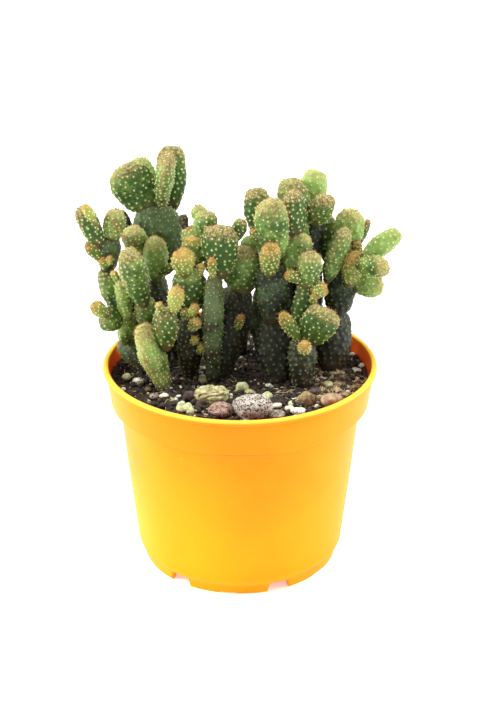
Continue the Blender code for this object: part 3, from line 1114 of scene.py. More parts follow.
@dataclass(frozen=True)
class Bud:
    """A small pad that is too slight for a CAD node of its own.

    It sprouts from its host's skin at `along` (a share of the length) and `around` (degrees,
    0 at the right edge and 90 on the face). On the soil those are its X and Y. `reach` runs
    from its foot to its tip and `face` is the heading of its broad side, 0 towards the front.
    Rounding shrinks the body, which `round_width` and `round_length` make up for.
    """

    name: str
    host: str
    along: float
    around: float
    reach: tuple[float, float, float]
    width: float
    thickness: float
    face: float
    look: Growth
    fullness: float = 2.3
    neck: float = 0.6
    round_width: float = 0.54
    round_length: float = 1.02

    def body(self, foot: Vector) -> tuple[bpy.types.Mesh, Grip]:
        """Model the bud's smooth body.

        Args:
            foot: Where it meets its host.

        Returns:
            The mesh and its frame.
        """
        reach = Vector(self.reach) * MM
        length = reach.length
        along = reach.normalized()
        heading = math.radians(self.face)
        facing = Vector((math.sin(heading), -math.cos(heading), 0))
        facing = (facing - facing.dot(along) * along).normalized()
        across = along.cross(facing)
        bm = bmesh.new()
        bmesh.ops.create_uvsphere(bm, u_segments=10, v_segments=7, radius=0.5)
        for vert in bm.verts:
            share = vert.co.z + 0.5
            ring = math.hypot(vert.co.x, vert.co.y)
            if ring > MERGE:
                full = max(0.0, 1 - abs(2 * share - 1) ** self.fullness) ** (1 / self.fullness)
                neck = self.neck + (1 - self.neck) * smooth_rise(share, 0.0, 0.55)
                vert.co.xy *= self.round_width * full * neck / ring
        turn = Matrix((across, facing, along)).transposed().to_4x4()
        size = (self.width * MM, self.thickness * MM, length * self.round_length, 1)
        middle = Matrix.Translation(foot + reach / 2)
        bmesh.ops.transform(bm, matrix=middle @ turn @ Matrix.Diagonal(size), verts=bm.verts)
        mesh = Workshop.rounded(Workshop.close(bm, self.name, True), 2)
        grip = Grip(foot, along, across, facing, length, self.width * MM, self.thickness * MM)
        return mesh, grip


@dataclass
class Clump:
    """The whole plant: every pad in its CAD node's place, and the buds that grow on them."""

    pads: dict[str, tuple[str, Growth]]
    buds: tuple[Bud, ...]
    small_length: float = 20.0
    stem_root: float = 4.0
    # Painted shade: how much darker a stem's tone grows towards the soil.
    stem_painted_shade: float = 0.7
    bud_shape: dict[str, float] = field(
        default_factory=lambda: {
            "tubercle": 0.2, "tubercle_radius": 0.9, "plump": 0.2,
            "unevenness": 0.3, "wool_radius": 0.33, "root": 1.2,
        }
    )
    grips: dict[str, tuple[Grip, BVHTree]] = field(default_factory=dict)

    def build(self, palette: Palette) -> None:
        """Build and dress every pad, then every bud.

        Args:
            palette: The finishes.
        """
        trees = {name: Workshop.tree(frame["nodes"][name].data) for name in self.pads}
        for name, (parent, look) in self.pads.items():
            self.build_pad(name, parent, look, trees, palette)
        for bud in self.buds:
            self.build_bud(bud, palette)

    def build_pad(
        self, name: str, parent: str, look: Growth, trees: dict[str, BVHTree], palette: Palette
    ) -> None:
        """Build one pad over its CAD node.

        Args:
            name: The node.
            parent: The node it grows from, or "soil".
            look: Its looks.
            trees: Search trees of all the pads' nodes.
            palette: The finishes.
        """
        mesh = Workshop.close(Workshop.merged_copy(name), name)
        points = Workshop.points(mesh)
        if parent == "soil":
            lowest = points[points[:, 2].argmin()]
        else:
            gaps = [trees[parent].find_nearest(Vector(point))[3] for point in points]
            lowest = points[int(np.argmin(gaps))]
        grip = Grip.measured(points, Vector(lowest))
        levels = 2 if grip.length < self.small_length * MM else 3
        mesh = Workshop.rounded(mesh, levels)
        paddle = Paddle(name + "_skin", mesh, grip, look, SLOTS[name], (name,))
        if parent == "soil":
            paddle.root = self.stem_root
            paddle.foot_painted_shade = self.stem_painted_shade
        paddle.grow(palette)
        self.grips[name] = (grip, Workshop.tree(mesh))
        LOG.info("%s: %d areoles", name, len(paddle.seats))

    def build_bud(self, bud: Bud, palette: Palette) -> None:
        """Build one bud on its host pad.

        Args:
            bud: The bud.
            palette: The finishes.
        """
        if bud.host == "soil":
            foot = Vector((bud.along * MM, bud.around * MM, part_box("soil")[1].z))
            shape = {"root": self.stem_root}
        else:
            grip, tree = self.grips[bud.host]
            found = grip.seat(tree, bud.along, math.radians(bud.around))
            if found is None:
                LOG.warning("%s has no seat on %s", bud.name, bud.host)
                return
            foot = found[0]
            shape = self.bud_shape
        mesh, own = bud.body(foot)
        paddle = Paddle(bud.name, mesh, own, bud.look, bud.look.skin.value, **shape)
        paddle.grow(palette)
        self.grips[bud.name] = (own, Workshop.tree(mesh))
        LOG.info("%s: %d areoles", bud.name, len(paddle.seats))


OLD, GREEN, YOUNG = Skin.OLD, Skin.GREEN, Skin.YOUNG

PADS: dict[str, tuple[str, Growth]] = {
    "left_front_stem": ("soil", Growth(OLD, 0.2, 0.5, 0.5)),
    "left_main_stem": ("soil", Growth(OLD, 0.6, 0.2, 0.2)),
    "front_left_edge_pad": ("soil", Growth(GREEN, -0.1, 1.0, 0.7, 2.3)),
    "inner_left_stem": ("soil", Growth(OLD, 0.6, 0.1, 0.2)),
    "column_stem": ("soil", Growth(OLD, 0.0, 0.3, 0.2, 3.4)),
    # Old stems at full tone stand deep in the clump; their near-black is partly painted shade.
    "centre_stem": ("soil", Growth(OLD, 1.0, 0.1, 0.1)),
    "centre_front_stem": ("soil", Growth(OLD, 1.0, 0.1, 0.1)),
    "right_front_stem": ("soil", Growth(OLD, 0.5, 0.2, 0.1)),
    "rear_right_stem": ("soil", Growth(OLD, 1.0, 0.1, 0.1)),
    "right_main_stem": ("soil", Growth(OLD, 1.0, 0.1, 0.1)),
    "left_front_stub": ("left_front_stem", Growth(GREEN, 0.5, 0.4, 0.3)),
    "left_outer_pad": ("left_front_stub", Growth(GREEN, 0.6, 0.4)),
    "left_edge_pad": ("left_front_stub", Growth(GREEN, 0.35, 0.5)),
    "left_round_pad": ("left_front_stub", Growth(GREEN, 0.85, 0.5)),
    "left_high_old_pad": ("left_outer_pad", Growth(OLD, 0.3, 0.3)),
    "left_high_front_pad": ("left_high_old_pad", Growth(GREEN, 0.4, 1.0, 0.9, 2.4)),
    "left_far_pad": ("left_high_old_pad", Growth(GREEN, 0.85, 1.0, 0.5, 2.4)),
    "left_low_pad": ("left_main_stem", Growth(GREEN, 0.7, 0.5)),
    "left_long_pad": ("left_low_pad", Growth(GREEN, 0.6, 0.9)),
    "left_upright_pad": ("left_main_stem", Growth(GREEN, 0.2, 1.0)),
    "left_rear_fan": ("left_main_stem", Growth(OLD, 0.2, 0.1)),
    "left_rear_disc": ("left_rear_fan", Growth(GREEN, 0.7, 0.8)),
    "left_rear_tall_pad": ("left_rear_fan", Growth(GREEN, -0.6, 0.7)),
    "left_rear_edge_pad": ("left_rear_fan", Growth(GREEN, 0.6, 1.0, 0.5, 2.6)),
    "left_rear_oval_pad": ("left_rear_fan", Growth(GREEN, 0.9, 0.6)),
    "left_rear_low_pad": ("left_rear_fan", Growth(GREEN, 0.4, 1.0, 0.5, 2.4)),
    "front_left_pad": ("front_left_edge_pad", Growth(GREEN, 0.85, 0.5, 0.5)),
    "inner_left_pad": ("inner_left_stem", Growth(GREEN, 0.8, 0.3)),
    "inner_left_bud_pad": ("inner_left_pad", Growth(YOUNG, 0.6, 1.0, 0.2, 2.2)),
    "inner_left_rear_pad": ("inner_left_pad", Growth(YOUNG, 0.8, 0.7, 0.0, 2.4)),
    "inner_left_top_pad": ("inner_left_rear_pad", Growth(YOUNG, 0.7, 1.0, 0.5, 2.2)),
    "inner_left_side_pad": ("inner_left_rear_pad", Growth(GREEN, 0.6, 0.8, 0.2, 2.6)),
    "column_round_pad": ("column_stem", Growth(GREEN, 1.6, 1.0)),
    "centre_disc": ("centre_stem", Growth(GREEN, 0.7, 1.0)),
    "centre_old_pad": ("centre_front_stem", Growth(OLD, 0.7, 0.1)),
    "centre_small_pad": ("centre_old_pad", Growth(YOUNG, 0.7, 1.0, 0.4, 2.0)),
    "centre_tall_pad": ("centre_old_pad", Growth(GREEN, 0.5, 1.0)),
    "centre_rear_pad": ("centre_tall_pad", Growth(GREEN, 0.9, 1.0)),
    "centre_right_pad": ("centre_old_pad", Growth(GREEN, 0.5, 0.9)),
    "centre_pointed_pad": ("centre_right_pad", Growth(GREEN, 1.1, 1.0, 0.2, 2.6)),
    "centre_high_pad": ("centre_right_pad", Growth(GREEN, 0.7, 1.0)),
    "right_front_disc": ("right_front_stem", Growth(GREEN, 0.8, 1.0)),
    "right_inner_pad": ("right_front_stem", Growth(GREEN, 1.2, 0.2)),
    "right_inner_top_pad": ("right_inner_pad", Growth(GREEN, 0.45, 1.0, 0.0, 2.4)),
    "rear_right_high_stem": ("rear_right_stem", Growth(OLD, 1.0, 0.1)),
    "rear_right_pale_pad": ("rear_right_high_stem", Growth(GREEN, -1.0, 0.7)),
    "rear_right_side_pad": ("rear_right_high_stem", Growth(GREEN, 0.7, 1.0, 0.4)),
    "right_old_pad": ("right_main_stem", Growth(OLD, 0.7, 0.1)),
    "right_dark_disc": ("right_old_pad", Growth(GREEN, 0.8, 1.0)),
    "right_light_pad": ("right_old_pad", Growth(GREEN, 0.2, 1.0)),
    "right_oblique_pad": ("right_old_pad", Growth(GREEN, 0.55, 0.7)),
    "right_gold_pad": ("right_old_pad", Growth(YOUNG, 0.55, 1.0, 0.3, 2.2)),
    "right_long_pad": ("right_gold_pad", Growth(GREEN, 0.1, 0.3, 0.2)),
    "right_low_long_pad": ("right_gold_pad", Growth(GREEN, 0.6, 1.0, 0.0, 2.6)),
    "right_bright_disc": ("right_old_pad", Growth(GREEN, 0.35, 1.0, 0.0, 2.6)),
}

BUDS: tuple[Bud, ...] = (
    Bud("left_golden_bud", "left_round_pad", 0.96, 60, (-6, -2, 7), 7, 5.5, 20,
        Growth(YOUNG, 0.5, 1.0, 0.3, 2.0)),
    Bud("left_tip_bud", "left_far_pad", 0.58, 62, (-4, 0, 8.5), 4.5, 3.5, 20,
        Growth(YOUNG, 0.3, 0.8, 0.2, 2.0)),
    Bud("left_brown_pad", "left_high_old_pad", 0.40, 157, (-7, -1, 9), 6, 4.5, 30,
        Growth(YOUNG, 0.95, 1.0, 0.8, 2.2)),
    Bud("left_orange_bud", "left_high_old_pad", 0.12, 150, (-1, -3, 6.5), 4, 3.5, 0,
        Growth(YOUNG, 0.6, 1.0, 0.6, 1.8)),
    Bud("left_orange_bud_small", "left_high_old_pad", 0.27, 128, (1, -3, 5), 3.5, 3, 0,
        Growth(YOUNG, 0.6, 1.0, 0.6, 1.8)),
    Bud("left_rear_thin_stub", "left_rear_fan", 0.58, 180, (-5, 2, 11), 4.5, 3.5, 40,
        Growth(OLD, 0.9, 0.6, 0.3, 2.4)),
    Bud("left_edge_bud", "left_edge_pad", 0.97, -132, (-1.5, -1, 5), 3.5, 3, 0,
        Growth(YOUNG, 0.5, 1.0, 0.6, 1.8)),
    Bud("left_finger_bud", "left_upright_pad", 0.21, 81, (8, -2, 5.5), 4, 3, 0,
        Growth(YOUNG, 0.95, 1.0, 0.2, 2.0)),
    Bud("front_orange_bud", "front_left_pad", 0.95, -5, (2, -1, 13), 7.5, 6, 0,
        Growth(YOUNG, 0.3, 1.0, 0.0, 2.0)),
    Bud("front_tan_bud", "front_left_pad", 0.95, 90, (-1, -1, 6), 3.5, 3, 0,
        Growth(YOUNG, 0.5, 1.0, 0.5, 1.8)),
    Bud("inner_left_top_bud", "inner_left_side_pad", 0.50, -137, (-1, 1, 8.5), 7.5, 5.5, 10,
        Growth(GREEN, 0.5, 1.0, 0.5, 2.2)),
    Bud("inner_left_dark_tip", "inner_left_top_pad", 0.90, 151, (-1, 3, 6), 4.5, 3.5, 10,
        Growth(OLD, 0.9, 0.6, 0.4, 2.2)),
    Bud("inner_left_tan_bud", "inner_left_pad", 0.88, 34, (1.5, -1, 6), 3.5, 3.5, 0,
        Growth(YOUNG, 0.6, 1.0, 0.6, 1.8)),
    Bud("inner_left_slim_pad", "inner_left_rear_pad", 0.36, 36, (2, -1, 14.5), 4.5, 3.5, 70,
        Growth(GREEN, 0.7, 0.8, 0.3, 2.4)),
    Bud("column_top_pad", "column_round_pad", 0.69, -23, (3, 3, 9), 7, 5, -10,
        Growth(GREEN, 0.8, 1.0, 0.4, 2.2)),
    Bud("column_orange_bud", "column_stem", 0.97, 159, (-0.5, -2, 11), 4, 3.5, 20,
        Growth(YOUNG, 0.5, 1.0, 0.7, 1.8)),
    Bud("stem_orange_bud", "inner_left_stem", 0.95, 165, (4.5, -2, 8.5), 4.5, 4, 0,
        Growth(YOUNG, 0.4, 1.0, 0.3, 1.8)),
    Bud("stem_green_bud", "inner_left_stem", 0.94, 170, (-1, -1, 6), 4, 3.5, 0,
        Growth(YOUNG, 0.8, 0.5, 0.2, 1.8)),
    Bud("stem_gold_bud", "inner_left_stem", 0.82, 152, (4.5, -3, 6), 5.5, 5, 0,
        Growth(YOUNG, 0.4, 1.0, 0.4, 1.8)),
    Bud("stem_small_bud", "inner_left_stem", 0.58, 138, (1.5, -2, 5), 4, 3.5, 0,
        Growth(YOUNG, 0.5, 0.8, 0.4, 1.8)),
    Bud("stem_low_bud", "inner_left_stem", 0.42, 111, (2.5, -2, 5.5), 4, 4, 0,
        Growth(YOUNG, 0.5, 0.7, 0.2, 1.8)),
    Bud("disc_rear_pad", "centre_disc", 0.69, -50, (1, 3, 9), 9.5, 5.5, 0,
        Growth(GREEN, 0.1, 0.6, 0.0, 2.8)),
    Bud("centre_stem_bud", "centre_stem", 0.54, 90, (2, -2, 8.5), 4, 3.5, 0,
        Growth(YOUNG, 0.7, 1.0, 0.9, 1.8)),
    Bud("tall_pad_bud", "centre_tall_pad", 0.38, 165, (-2.5, 0, 5.5), 3.5, 3, 0,
        Growth(YOUNG, 0.7, 1.0, 0.6, 1.8)),
    Bud("light_pad_brown_edge", "right_light_pad", 0.15, 10, (5, 2, 13), 5, 4, 60,
        Growth(GREEN, 0.8, 1.0, 1.0, 2.4)),
    Bud("right_finger_pad", "right_front_stem", 0.92, 144, (-9, -3, 15), 6.5, 5, 20,
        Growth(YOUNG, 0.95, 1.0, 0.2, 2.2)),
    Bud("right_spiky_bud", "right_front_stem", 0.69, 120, (-0.5, -5, 7), 6, 5.5, 0,
        Growth(YOUNG, 0.3, 1.0, 0.9, 1.5)),
    Bud("inner_top_side_bud", "right_inner_top_pad", 0.19, 162, (-7, -1, 4.5), 5.5, 4.5, 0,
        Growth(YOUNG, 0.8, 1.0, 0.6, 1.9)),
    Bud("inner_gold_ball", "right_inner_pad", 0.88, 100, (7, -1, 2), 7.5, 6.5, 0,
        Growth(YOUNG, 0.4, 1.0, 0.6, 1.6)),
    Bud("inner_tan_bud", "right_inner_pad", 0.65, 100, (1.5, -1, 5.5), 3.5, 3, 0,
        Growth(YOUNG, 0.6, 1.0, 0.6, 1.6)),
    Bud("gold_pad_brown_tip", "right_gold_pad", 0.55, -51, (0, 1, 9.5), 5.5, 4.5, 10,
        Growth(YOUNG, 0.95, 1.0, 0.9, 1.9)),
    # The stems that rise from the soil at the back fill the dark middle of the clump; their dark old skin
    # is partly painted shade.
    Bud("rear_left_stem", "soil", -9, 22, (-5, 6, 36), 12.5, 8.5, 10,
        Growth(OLD, 0.6, 0.1, 0.1)),
    Bud("rear_centre_stem", "soil", 0, 26, (-6, 4, 33), 14, 8.5, -10,
        Growth(OLD, 0.7, 0.1, 0.1)),
    Bud("rear_mid_stem", "soil", 12, 24, (-1, 3, 28), 12.5, 7.5, 0,
        Growth(OLD, 0.7, 0.1, 0.1)),
    Bud("rear_inner_stem", "soil", -28, 18, (-3, 4, 32), 12.5, 7.5, 15,
        Growth(OLD, 0.6, 0.1, 0.1)),
    Bud("rear_right_short_stem", "soil", 26, 34, (4, 2, 26), 11, 7, 0,
        Growth(OLD, 0.7, 0.1, 0.1)),
    Bud("rear_outer_stem", "soil", -51, 14, (0, 3, 37), 11.5, 7.5, 10,
        Growth(OLD, 0.55, 0.1, 0.1)),
    Bud("rear_gap_stem", "soil", 24, 22, (-1, 3, 50), 9.5, 8, 0,
        Growth(OLD, 0.7, 0.1, 0.1)),
    Bud("rear_slim_stem", "soil", 10, 22, (0, 3, 36), 8, 7, 0,
        Growth(OLD, 0.7, 0.1, 0.1)),
    Bud("left_dark_stem", "soil", -39, 12, (2, 0, 32), 9.5, 6.5, 20,
        Growth(OLD, 0.6, 0.1, 0.1)),
)


# --------------------------------------------------------------------------------------
# Pot
# --------------------------------------------------------------------------------------


@dataclass
class NurseryPot:
    """The tapered pot with its rolled lip, deep collar and notched foot ring.

    There is a foot at `foot_turn` degrees, and a notch between each two feet. Only vertices
    more than `notch_reach` from the axis are cut.
    """

    wall: float = 1.3
    lip_height: float = 2.6
    lip_overhang: float = 1.4
    collar_height: float = 18.5
    collar_taper: float = 2.0
    collar_step: float = 4.3
    body_taper: float = 7.2
    base_curve: float = 3.0
    foot_height: float = 5.0
    foot_wall: float = 2.4
    floor: float = 1.4
    feet: int = 6
    foot_turn: float = -97.0
    notch_angle: float = 13.0
    notch_height: float = 4.5
    notch_reach: float = 40.0
    nick_angle: float = 11.0
    nick_height: float = 0.7
    drain_radius: float = 3.5
    drain_inset: float = 10.0
    drain_depth: float = 6.0
    drain_sides: int = 24
    steps: int = 288

    def __post_init__(self) -> None:
        """Take the overall sizes from the CAD node and work out the wall's radii and heights."""
        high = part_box("pot")[1]
        self.rim = high.x / MM
        self.height = high.z / MM
        self.collar = self.rim - self.lip_overhang
        self.step = self.height - self.collar_height
        self.body_top = self.collar - self.collar_taper - self.collar_step
        self.body_low = self.body_top - self.body_taper
        self.foot = self.body_low - self.base_curve

    @staticmethod
    def arc(
        centre: tuple[float, float], size: tuple[float, float], start: float, end: float, count: int
    ) -> list[tuple[float, float]]:
        """Return points on part of an oval.

        Args:
            centre: Its radius from the pot's axis and its height.
            size: Its half-width and half-height.
            start: Angle of the first point, in degrees.
            end: Angle of the last.
            count: How many points.

        Returns:
            The points as (radius, height).
        """
        angles = [math.radians(start + (end - start) * i / (count - 1)) for i in range(count)]
        return [(centre[0] + size[0] * math.cos(a), centre[1] + size[1] * math.sin(a)) for a in angles]

    def outer(self) -> list[tuple[float, float]]:
        """Return the outside profile, from the top of the lip down to the underside's middle."""
        top, collar, step, foot = self.height, self.collar, self.step, self.foot
        body_top, body_low = self.body_top, self.body_low
        lip = self.lip_height / 2
        points = self.arc((collar - 0.2, top - lip), (self.lip_overhang + 0.2, lip), 90, -62, 12)
        points += self.arc((collar + 0.45, top - 2 * lip - 0.1), (0.5, 0.35), 120, 190, 4)
        points += [(collar - self.collar_taper * s, top - 3.2 - (self.collar_height - 4) * s)
                   for s in (0.0, 0.3, 0.6, 0.9)]
        points += self.arc((collar - self.collar_taper - 0.75, step + 0.75), (0.75, 0.75), 0, -80, 6)
        points += [(body_top + 1.0, step - 0.9)]
        points += self.arc((body_top + 0.5, step - 1.9), (0.5, 0.7), 120, 180, 4)
        for share in (0.15, 0.4, 0.65, 0.9):
            bulge = 0.35 * math.sin(math.pi * share)
            points.append((body_top - self.body_taper * share + bulge,
                           step - 2.2 - (step - 12.2) * share))
        points += self.arc((body_low - 3.6, self.foot_height + 5), (3.6, 5.4), 0, -60, 8)
        points += [(foot + 0.6, self.foot_height - 0.2), (foot + 0.3, 2.4)]
        points += self.arc((foot - 0.4, 0.5), (0.5, 0.5), 0, -90, 4)
        points += self.arc((foot - self.foot_wall + 0.5, 0.5), (0.5, 0.5), -90, -180, 4)
        points += [(foot - self.foot_wall, 3.0), (foot - self.foot_wall, self.foot_height)]
        points += [(20.0, self.foot_height), (0.0, self.foot_height)]
        return points

    def inner(self) -> list[tuple[float, float]]:
        """Return the inside profile, from the middle of the floor up to the lip."""
        top, collar, step = self.height, self.collar, self.step
        body_top = self.body_top - self.wall
        body_low = body_top - self.body_taper
        floor_top = self.foot_height + self.floor
        foot = body_low - self.base_curve + self.wall
        return [
            (0.0, floor_top),
            (20.0, floor_top),
            (foot - self.foot_wall, floor_top),
            (body_low, floor_top + 5),
            (body_top, step - 1.6),
            (body_top + self.collar_step, step + self.wall),
            (collar - self.wall - 0.9, top - 10),
            (collar - self.wall, top - self.lip_height),
            (collar - self.wall, top - 0.9),
            *self.arc((collar - self.wall + 0.6, top - 0.6), (0.6, 0.6), 180, 100, 4),
        ]

    def build(self, palette: Palette) -> None:
        """Turn the wall, cut the notches and the drain holes, and dress the pot.

        Args:
            palette: The finishes.
        """
        profile = [(radius * MM, height * MM) for radius, height in self.inner() + self.outer()]
        bm = Workshop.turned(profile, self.steps)
        for vert in bm.verts:
            vert.co.z = max(vert.co.z, self.notch_at(vert.co))
        mesh = Workshop.close(bm, "nursery_pot", True)
        mesh = self.drilled(mesh)
        points = Workshop.points(mesh)
        normals = Workshop.normals(mesh)
        inward = -(normals[:, :2] * points[:, :2]).sum(1) / np.maximum(
            np.linalg.norm(points[:, :2], axis=1), MM
        )
        # Marks the inner wall for its painted shade.
        inside = np.clip((inward - 0.2) * 3, 0, 1) * (points[:, 2] < (self.height - 1.2) * MM)
        Workshop.mark(mesh, "inside", inside)
        # Marks the upward-facing top of the lip for its painted highlight.
        lip = (points[:, 2] > (self.height - self.lip_height) * MM) * np.clip(normals[:, 2] * 1.6, 0, 1)
        Workshop.mark(mesh, "lip", lip)
        Workshop.piece("nursery_pot", mesh, palette.plastic, "pot_plastic", ("pot",))
        LOG.info("pot: %d faces", len(mesh.polygons))

    def notch_at(self, place: Vector) -> float:
        """Return how high the foot ring's cuts lift a vertex.

        Args:
            place: A vertex of the pot.

        Returns:
            The lowest height that it may have, in metres.
        """
        ring = math.hypot(place.x, place.y) / MM
        if place.z > self.notch_height * MM or ring < self.notch_reach:
            return place.z
        heading = math.degrees(math.atan2(place.y, place.x))
        pitch = 360 / self.feet
        from_foot = abs((heading - self.foot_turn + pitch / 2) % pitch - pitch / 2)
        from_notch = pitch / 2 - from_foot
        cut = 0.0
        if from_notch < self.notch_angle / 2:
            cut = self.notch_height * (1 - (2 * from_notch / self.notch_angle) ** 10) ** 0.25
        elif from_foot < self.nick_angle / 2:
            cut = self.nick_height * (1 - (2 * from_foot / self.nick_angle) ** 8) ** 0.5
        return cut * MM

    def drilled(self, mesh: bpy.types.Mesh) -> bpy.types.Mesh:
        """Return the pot's mesh with its drain holes cut.

        Args:
            mesh: The undrilled pot.

        Returns:
            The pot with one hole behind each notch.
        """
        bm = bmesh.new()
        pitch = math.tau / self.feet
        reach = (self.foot - self.foot_wall - self.drain_inset) * MM
        for number in range(self.feet):
            heading = math.radians(self.foot_turn) + (number + 0.5) * pitch
            spot = Vector((math.cos(heading), math.sin(heading), 0)) * reach
            spot.z = (self.foot_height + self.floor / 2) * MM
            bmesh.ops.create_cone(
                bm,
                cap_ends=True,
                segments=self.drain_sides,
                radius1=self.drain_radius * MM,
                radius2=self.drain_radius * MM,
                depth=self.drain_depth * MM,
                matrix=Matrix.Translation(spot),
            )
        cutter = Workshop.put("drill", Workshop.close(bm, "drill"))
        made = Workshop.modified(
            mesh, "BOOLEAN", operation="DIFFERENCE", solver="EXACT", object=cutter
        )
        bpy.data.objects.remove(cutter)
        return made


# --------------------------------------------------------------------------------------
# Soil, stones and litter
# --------------------------------------------------------------------------------------


@dataclass
class Soil:
    """The crumbly bed of potting mix, with its loose crumbs and fibres.

    `sides` gives the bed's radius as a share of its rim's, and how far below the rim that is.
    A crumb's middle is `perch` of its size above the bed. `fibre_drift` is where most fibres
    lie: mean and spread in X, then in Y.
    """

    rings: int = 56
    steps: int = 176
    sides: tuple[tuple[float, float], ...] = ((0.97, 8.0), (0.88, 20.0))
    base_share: float = 0.72
    lump: float = 2.4
    settle: float = 0.2
    perch: float = 0.3
    crumbs: int = 2200
    crumb_sizes: tuple[float, float] = (0.4, 2.0)
    chips: int = 900
    chip_sizes: tuple[float, float] = (0.25, 0.9)
    fibres: int = 560
    fibre_radius: float = 0.16
    fibre_bends: int = 7
    fibre_drift: tuple[float, float, float, float] = (44, 8, -14, 15)

    def __post_init__(self) -> None:
        """Take the bed's sizes from the CAD node."""
        low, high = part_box("soil")
        self.radius = high.x
        self.top = high.z
        self.bottom = low.z

    def relief(self, points: np.ndarray) -> np.ndarray:
        """Return how far the surface stands above the soil's mean level.

        Args:
            points: Places on the bed, whose heights don't count.

        Returns:
            The rise in metres at each point.
        """
        flat = points * np.array([1, 1, 0])
        coarse = clouds(flat, 11, 3.0)
        medium = clouds(flat, 3.6, 9.0)
        fine = clouds(flat, 1.5, 5.0)
        return (coarse + medium * 0.7 + np.abs(fine) * 0.8 - self.settle) * self.lump * 0.6 * MM

    def height_at(self, x: float, y: float) -> float:
        """Return the height of the soil's surface at a place."""
        return self.top + float(self.relief(np.array([[x, y, 0.0]]))[0])

    def build(self, palette: Palette) -> None:
        """Build the bed, its crumbs and its fibres.

        Args:
            palette: The finishes.
        """
        reach = [self.radius * i / self.rings for i in range(self.rings + 1)]
        profile = [(r, self.top) for r in reach]
        profile += [(self.radius * share, self.top - drop * MM) for share, drop in self.sides]
        profile += [(self.radius * self.base_share, self.bottom), (0.0, self.bottom)]
        mesh = Workshop.close(Workshop.turned(profile, self.steps), "potting_mix", True)
        points = Workshop.points(mesh)
        upper = points[:, 2] > self.top - MM
        points[upper, 2] += self.relief(points[upper])
        Workshop.move(mesh, points)
        Workshop.piece("potting_mix", mesh, palette.soil, "potting_soil", ("soil",))
        self.scatter("soil_crumbs", palette.soil, self.crumbs, self.crumb_sizes, 5)
        self.scatter("bark_chips", palette.fibre, self.chips, self.chip_sizes, 6)
        self.lay_fibres(palette)
        LOG.info("soil: %d faces", len(mesh.polygons))

    def scatter(
        self,
        name: str,
        material: bpy.types.Material,
        count: int,
        sizes: tuple[float, float],
        seed: int,
    ) -> None:
        """Scatter small rough crumbs over the bed.

        Args:
            name: The piece's name.
            material: Its finish.
            count: How many crumbs.
            sizes: Their smallest and largest radius in millimetres.
            seed: The random source's seed.
        """
        draw = random.Random(seed)
        bm = bmesh.new()
        for _ in range(count):
            reach = self.radius * math.sqrt(draw.random()) * 0.97
            turn = draw.uniform(0, math.tau)
            x, y = reach * math.cos(turn), reach * math.sin(turn)
            size = (sizes[0] + (sizes[1] - sizes[0]) * draw.random() ** 2) * MM
            made = bmesh.ops.create_icosphere(
                bm,
                subdivisions=1,
                radius=size,
                matrix=Matrix.Translation((x, y, self.height_at(x, y) + size * self.perch))
                @ Matrix.Rotation(draw.uniform(0, math.tau), 4, "Z")
                @ Matrix.Rotation(draw.uniform(-0.6, 0.6), 4, "X")
                @ Matrix.Diagonal((draw.uniform(0.7, 1.8), draw.uniform(0.7, 1.1), 0.7, 1)),
            )
            for vert in made["verts"]:
                vert.co += Vector((draw.uniform(-1, 1) for _ in range(3))) * size * 0.22
        Workshop.piece(name, Workshop.close(bm, name), material, "potting_soil")

    def lay_fibres(self, palette: Palette) -> None:
        """Lay thin curled fibres on the bed, most of them towards the right.

        Args:
            palette: The finishes.
        """
        draw = random.Random(9)
        curve = bpy.data.curves.new("coir_fibres", "CURVE")
        curve.dimensions = "3D"
        curve.bevel_depth = self.fibre_radius * MM
        curve.bevel_resolution = 0
        curve.resolution_u = 3
        curve.use_fill_caps = True
        x, x_spread, y, y_spread = self.fibre_drift
        for number in range(self.fibres):
            if number % 3:
                start = Vector((draw.gauss(x, x_spread), draw.gauss(y, y_spread), 0)) * MM
            else:
                reach = self.radius * math.sqrt(draw.random())
                turn = draw.uniform(0, math.tau)
                start = Vector((reach * math.cos(turn), reach * math.sin(turn), 0))
            self.lay_fibre(curve, start, draw)
        mesh = Workshop.evaluated(Workshop.put("coir_fibres", curve))
        Workshop.piece("coir_fibres", mesh, palette.fibre, "potting_soil")

    def lay_fibre(self, curve: bpy.types.Curve, start: Vector, draw: random.Random) -> None:
        """Add one wandering fibre to the curve.

        Args:
            curve: The fibres' curve.
            start: Where it begins, on plan.
            draw: The random source.
        """
        heading = draw.uniform(0, math.tau)
        stride = draw.uniform(0.8, 2.2) * MM
        spots = []
        place = start.copy()
        for _ in range(self.fibre_bends):
            if math.hypot(place.x, place.y) > self.radius - MM:
                break
            lift = draw.uniform(0.1, 1.1) * MM
            spots.append((place.x, place.y, self.height_at(place.x, place.y) + lift, 1.0))
            heading += draw.uniform(-0.7, 0.7)
            place += Vector((math.cos(heading), math.sin(heading), 0)) * stride
        if len(spots) < 3:
            return
        spline = curve.splines.new("NURBS")
        spline.points.add(len(spots) - 1)
        for point, spot in zip(spline.points, spots):
            point.co = spot
        spline.order_u = 3
        spline.use_endpoint_u = True


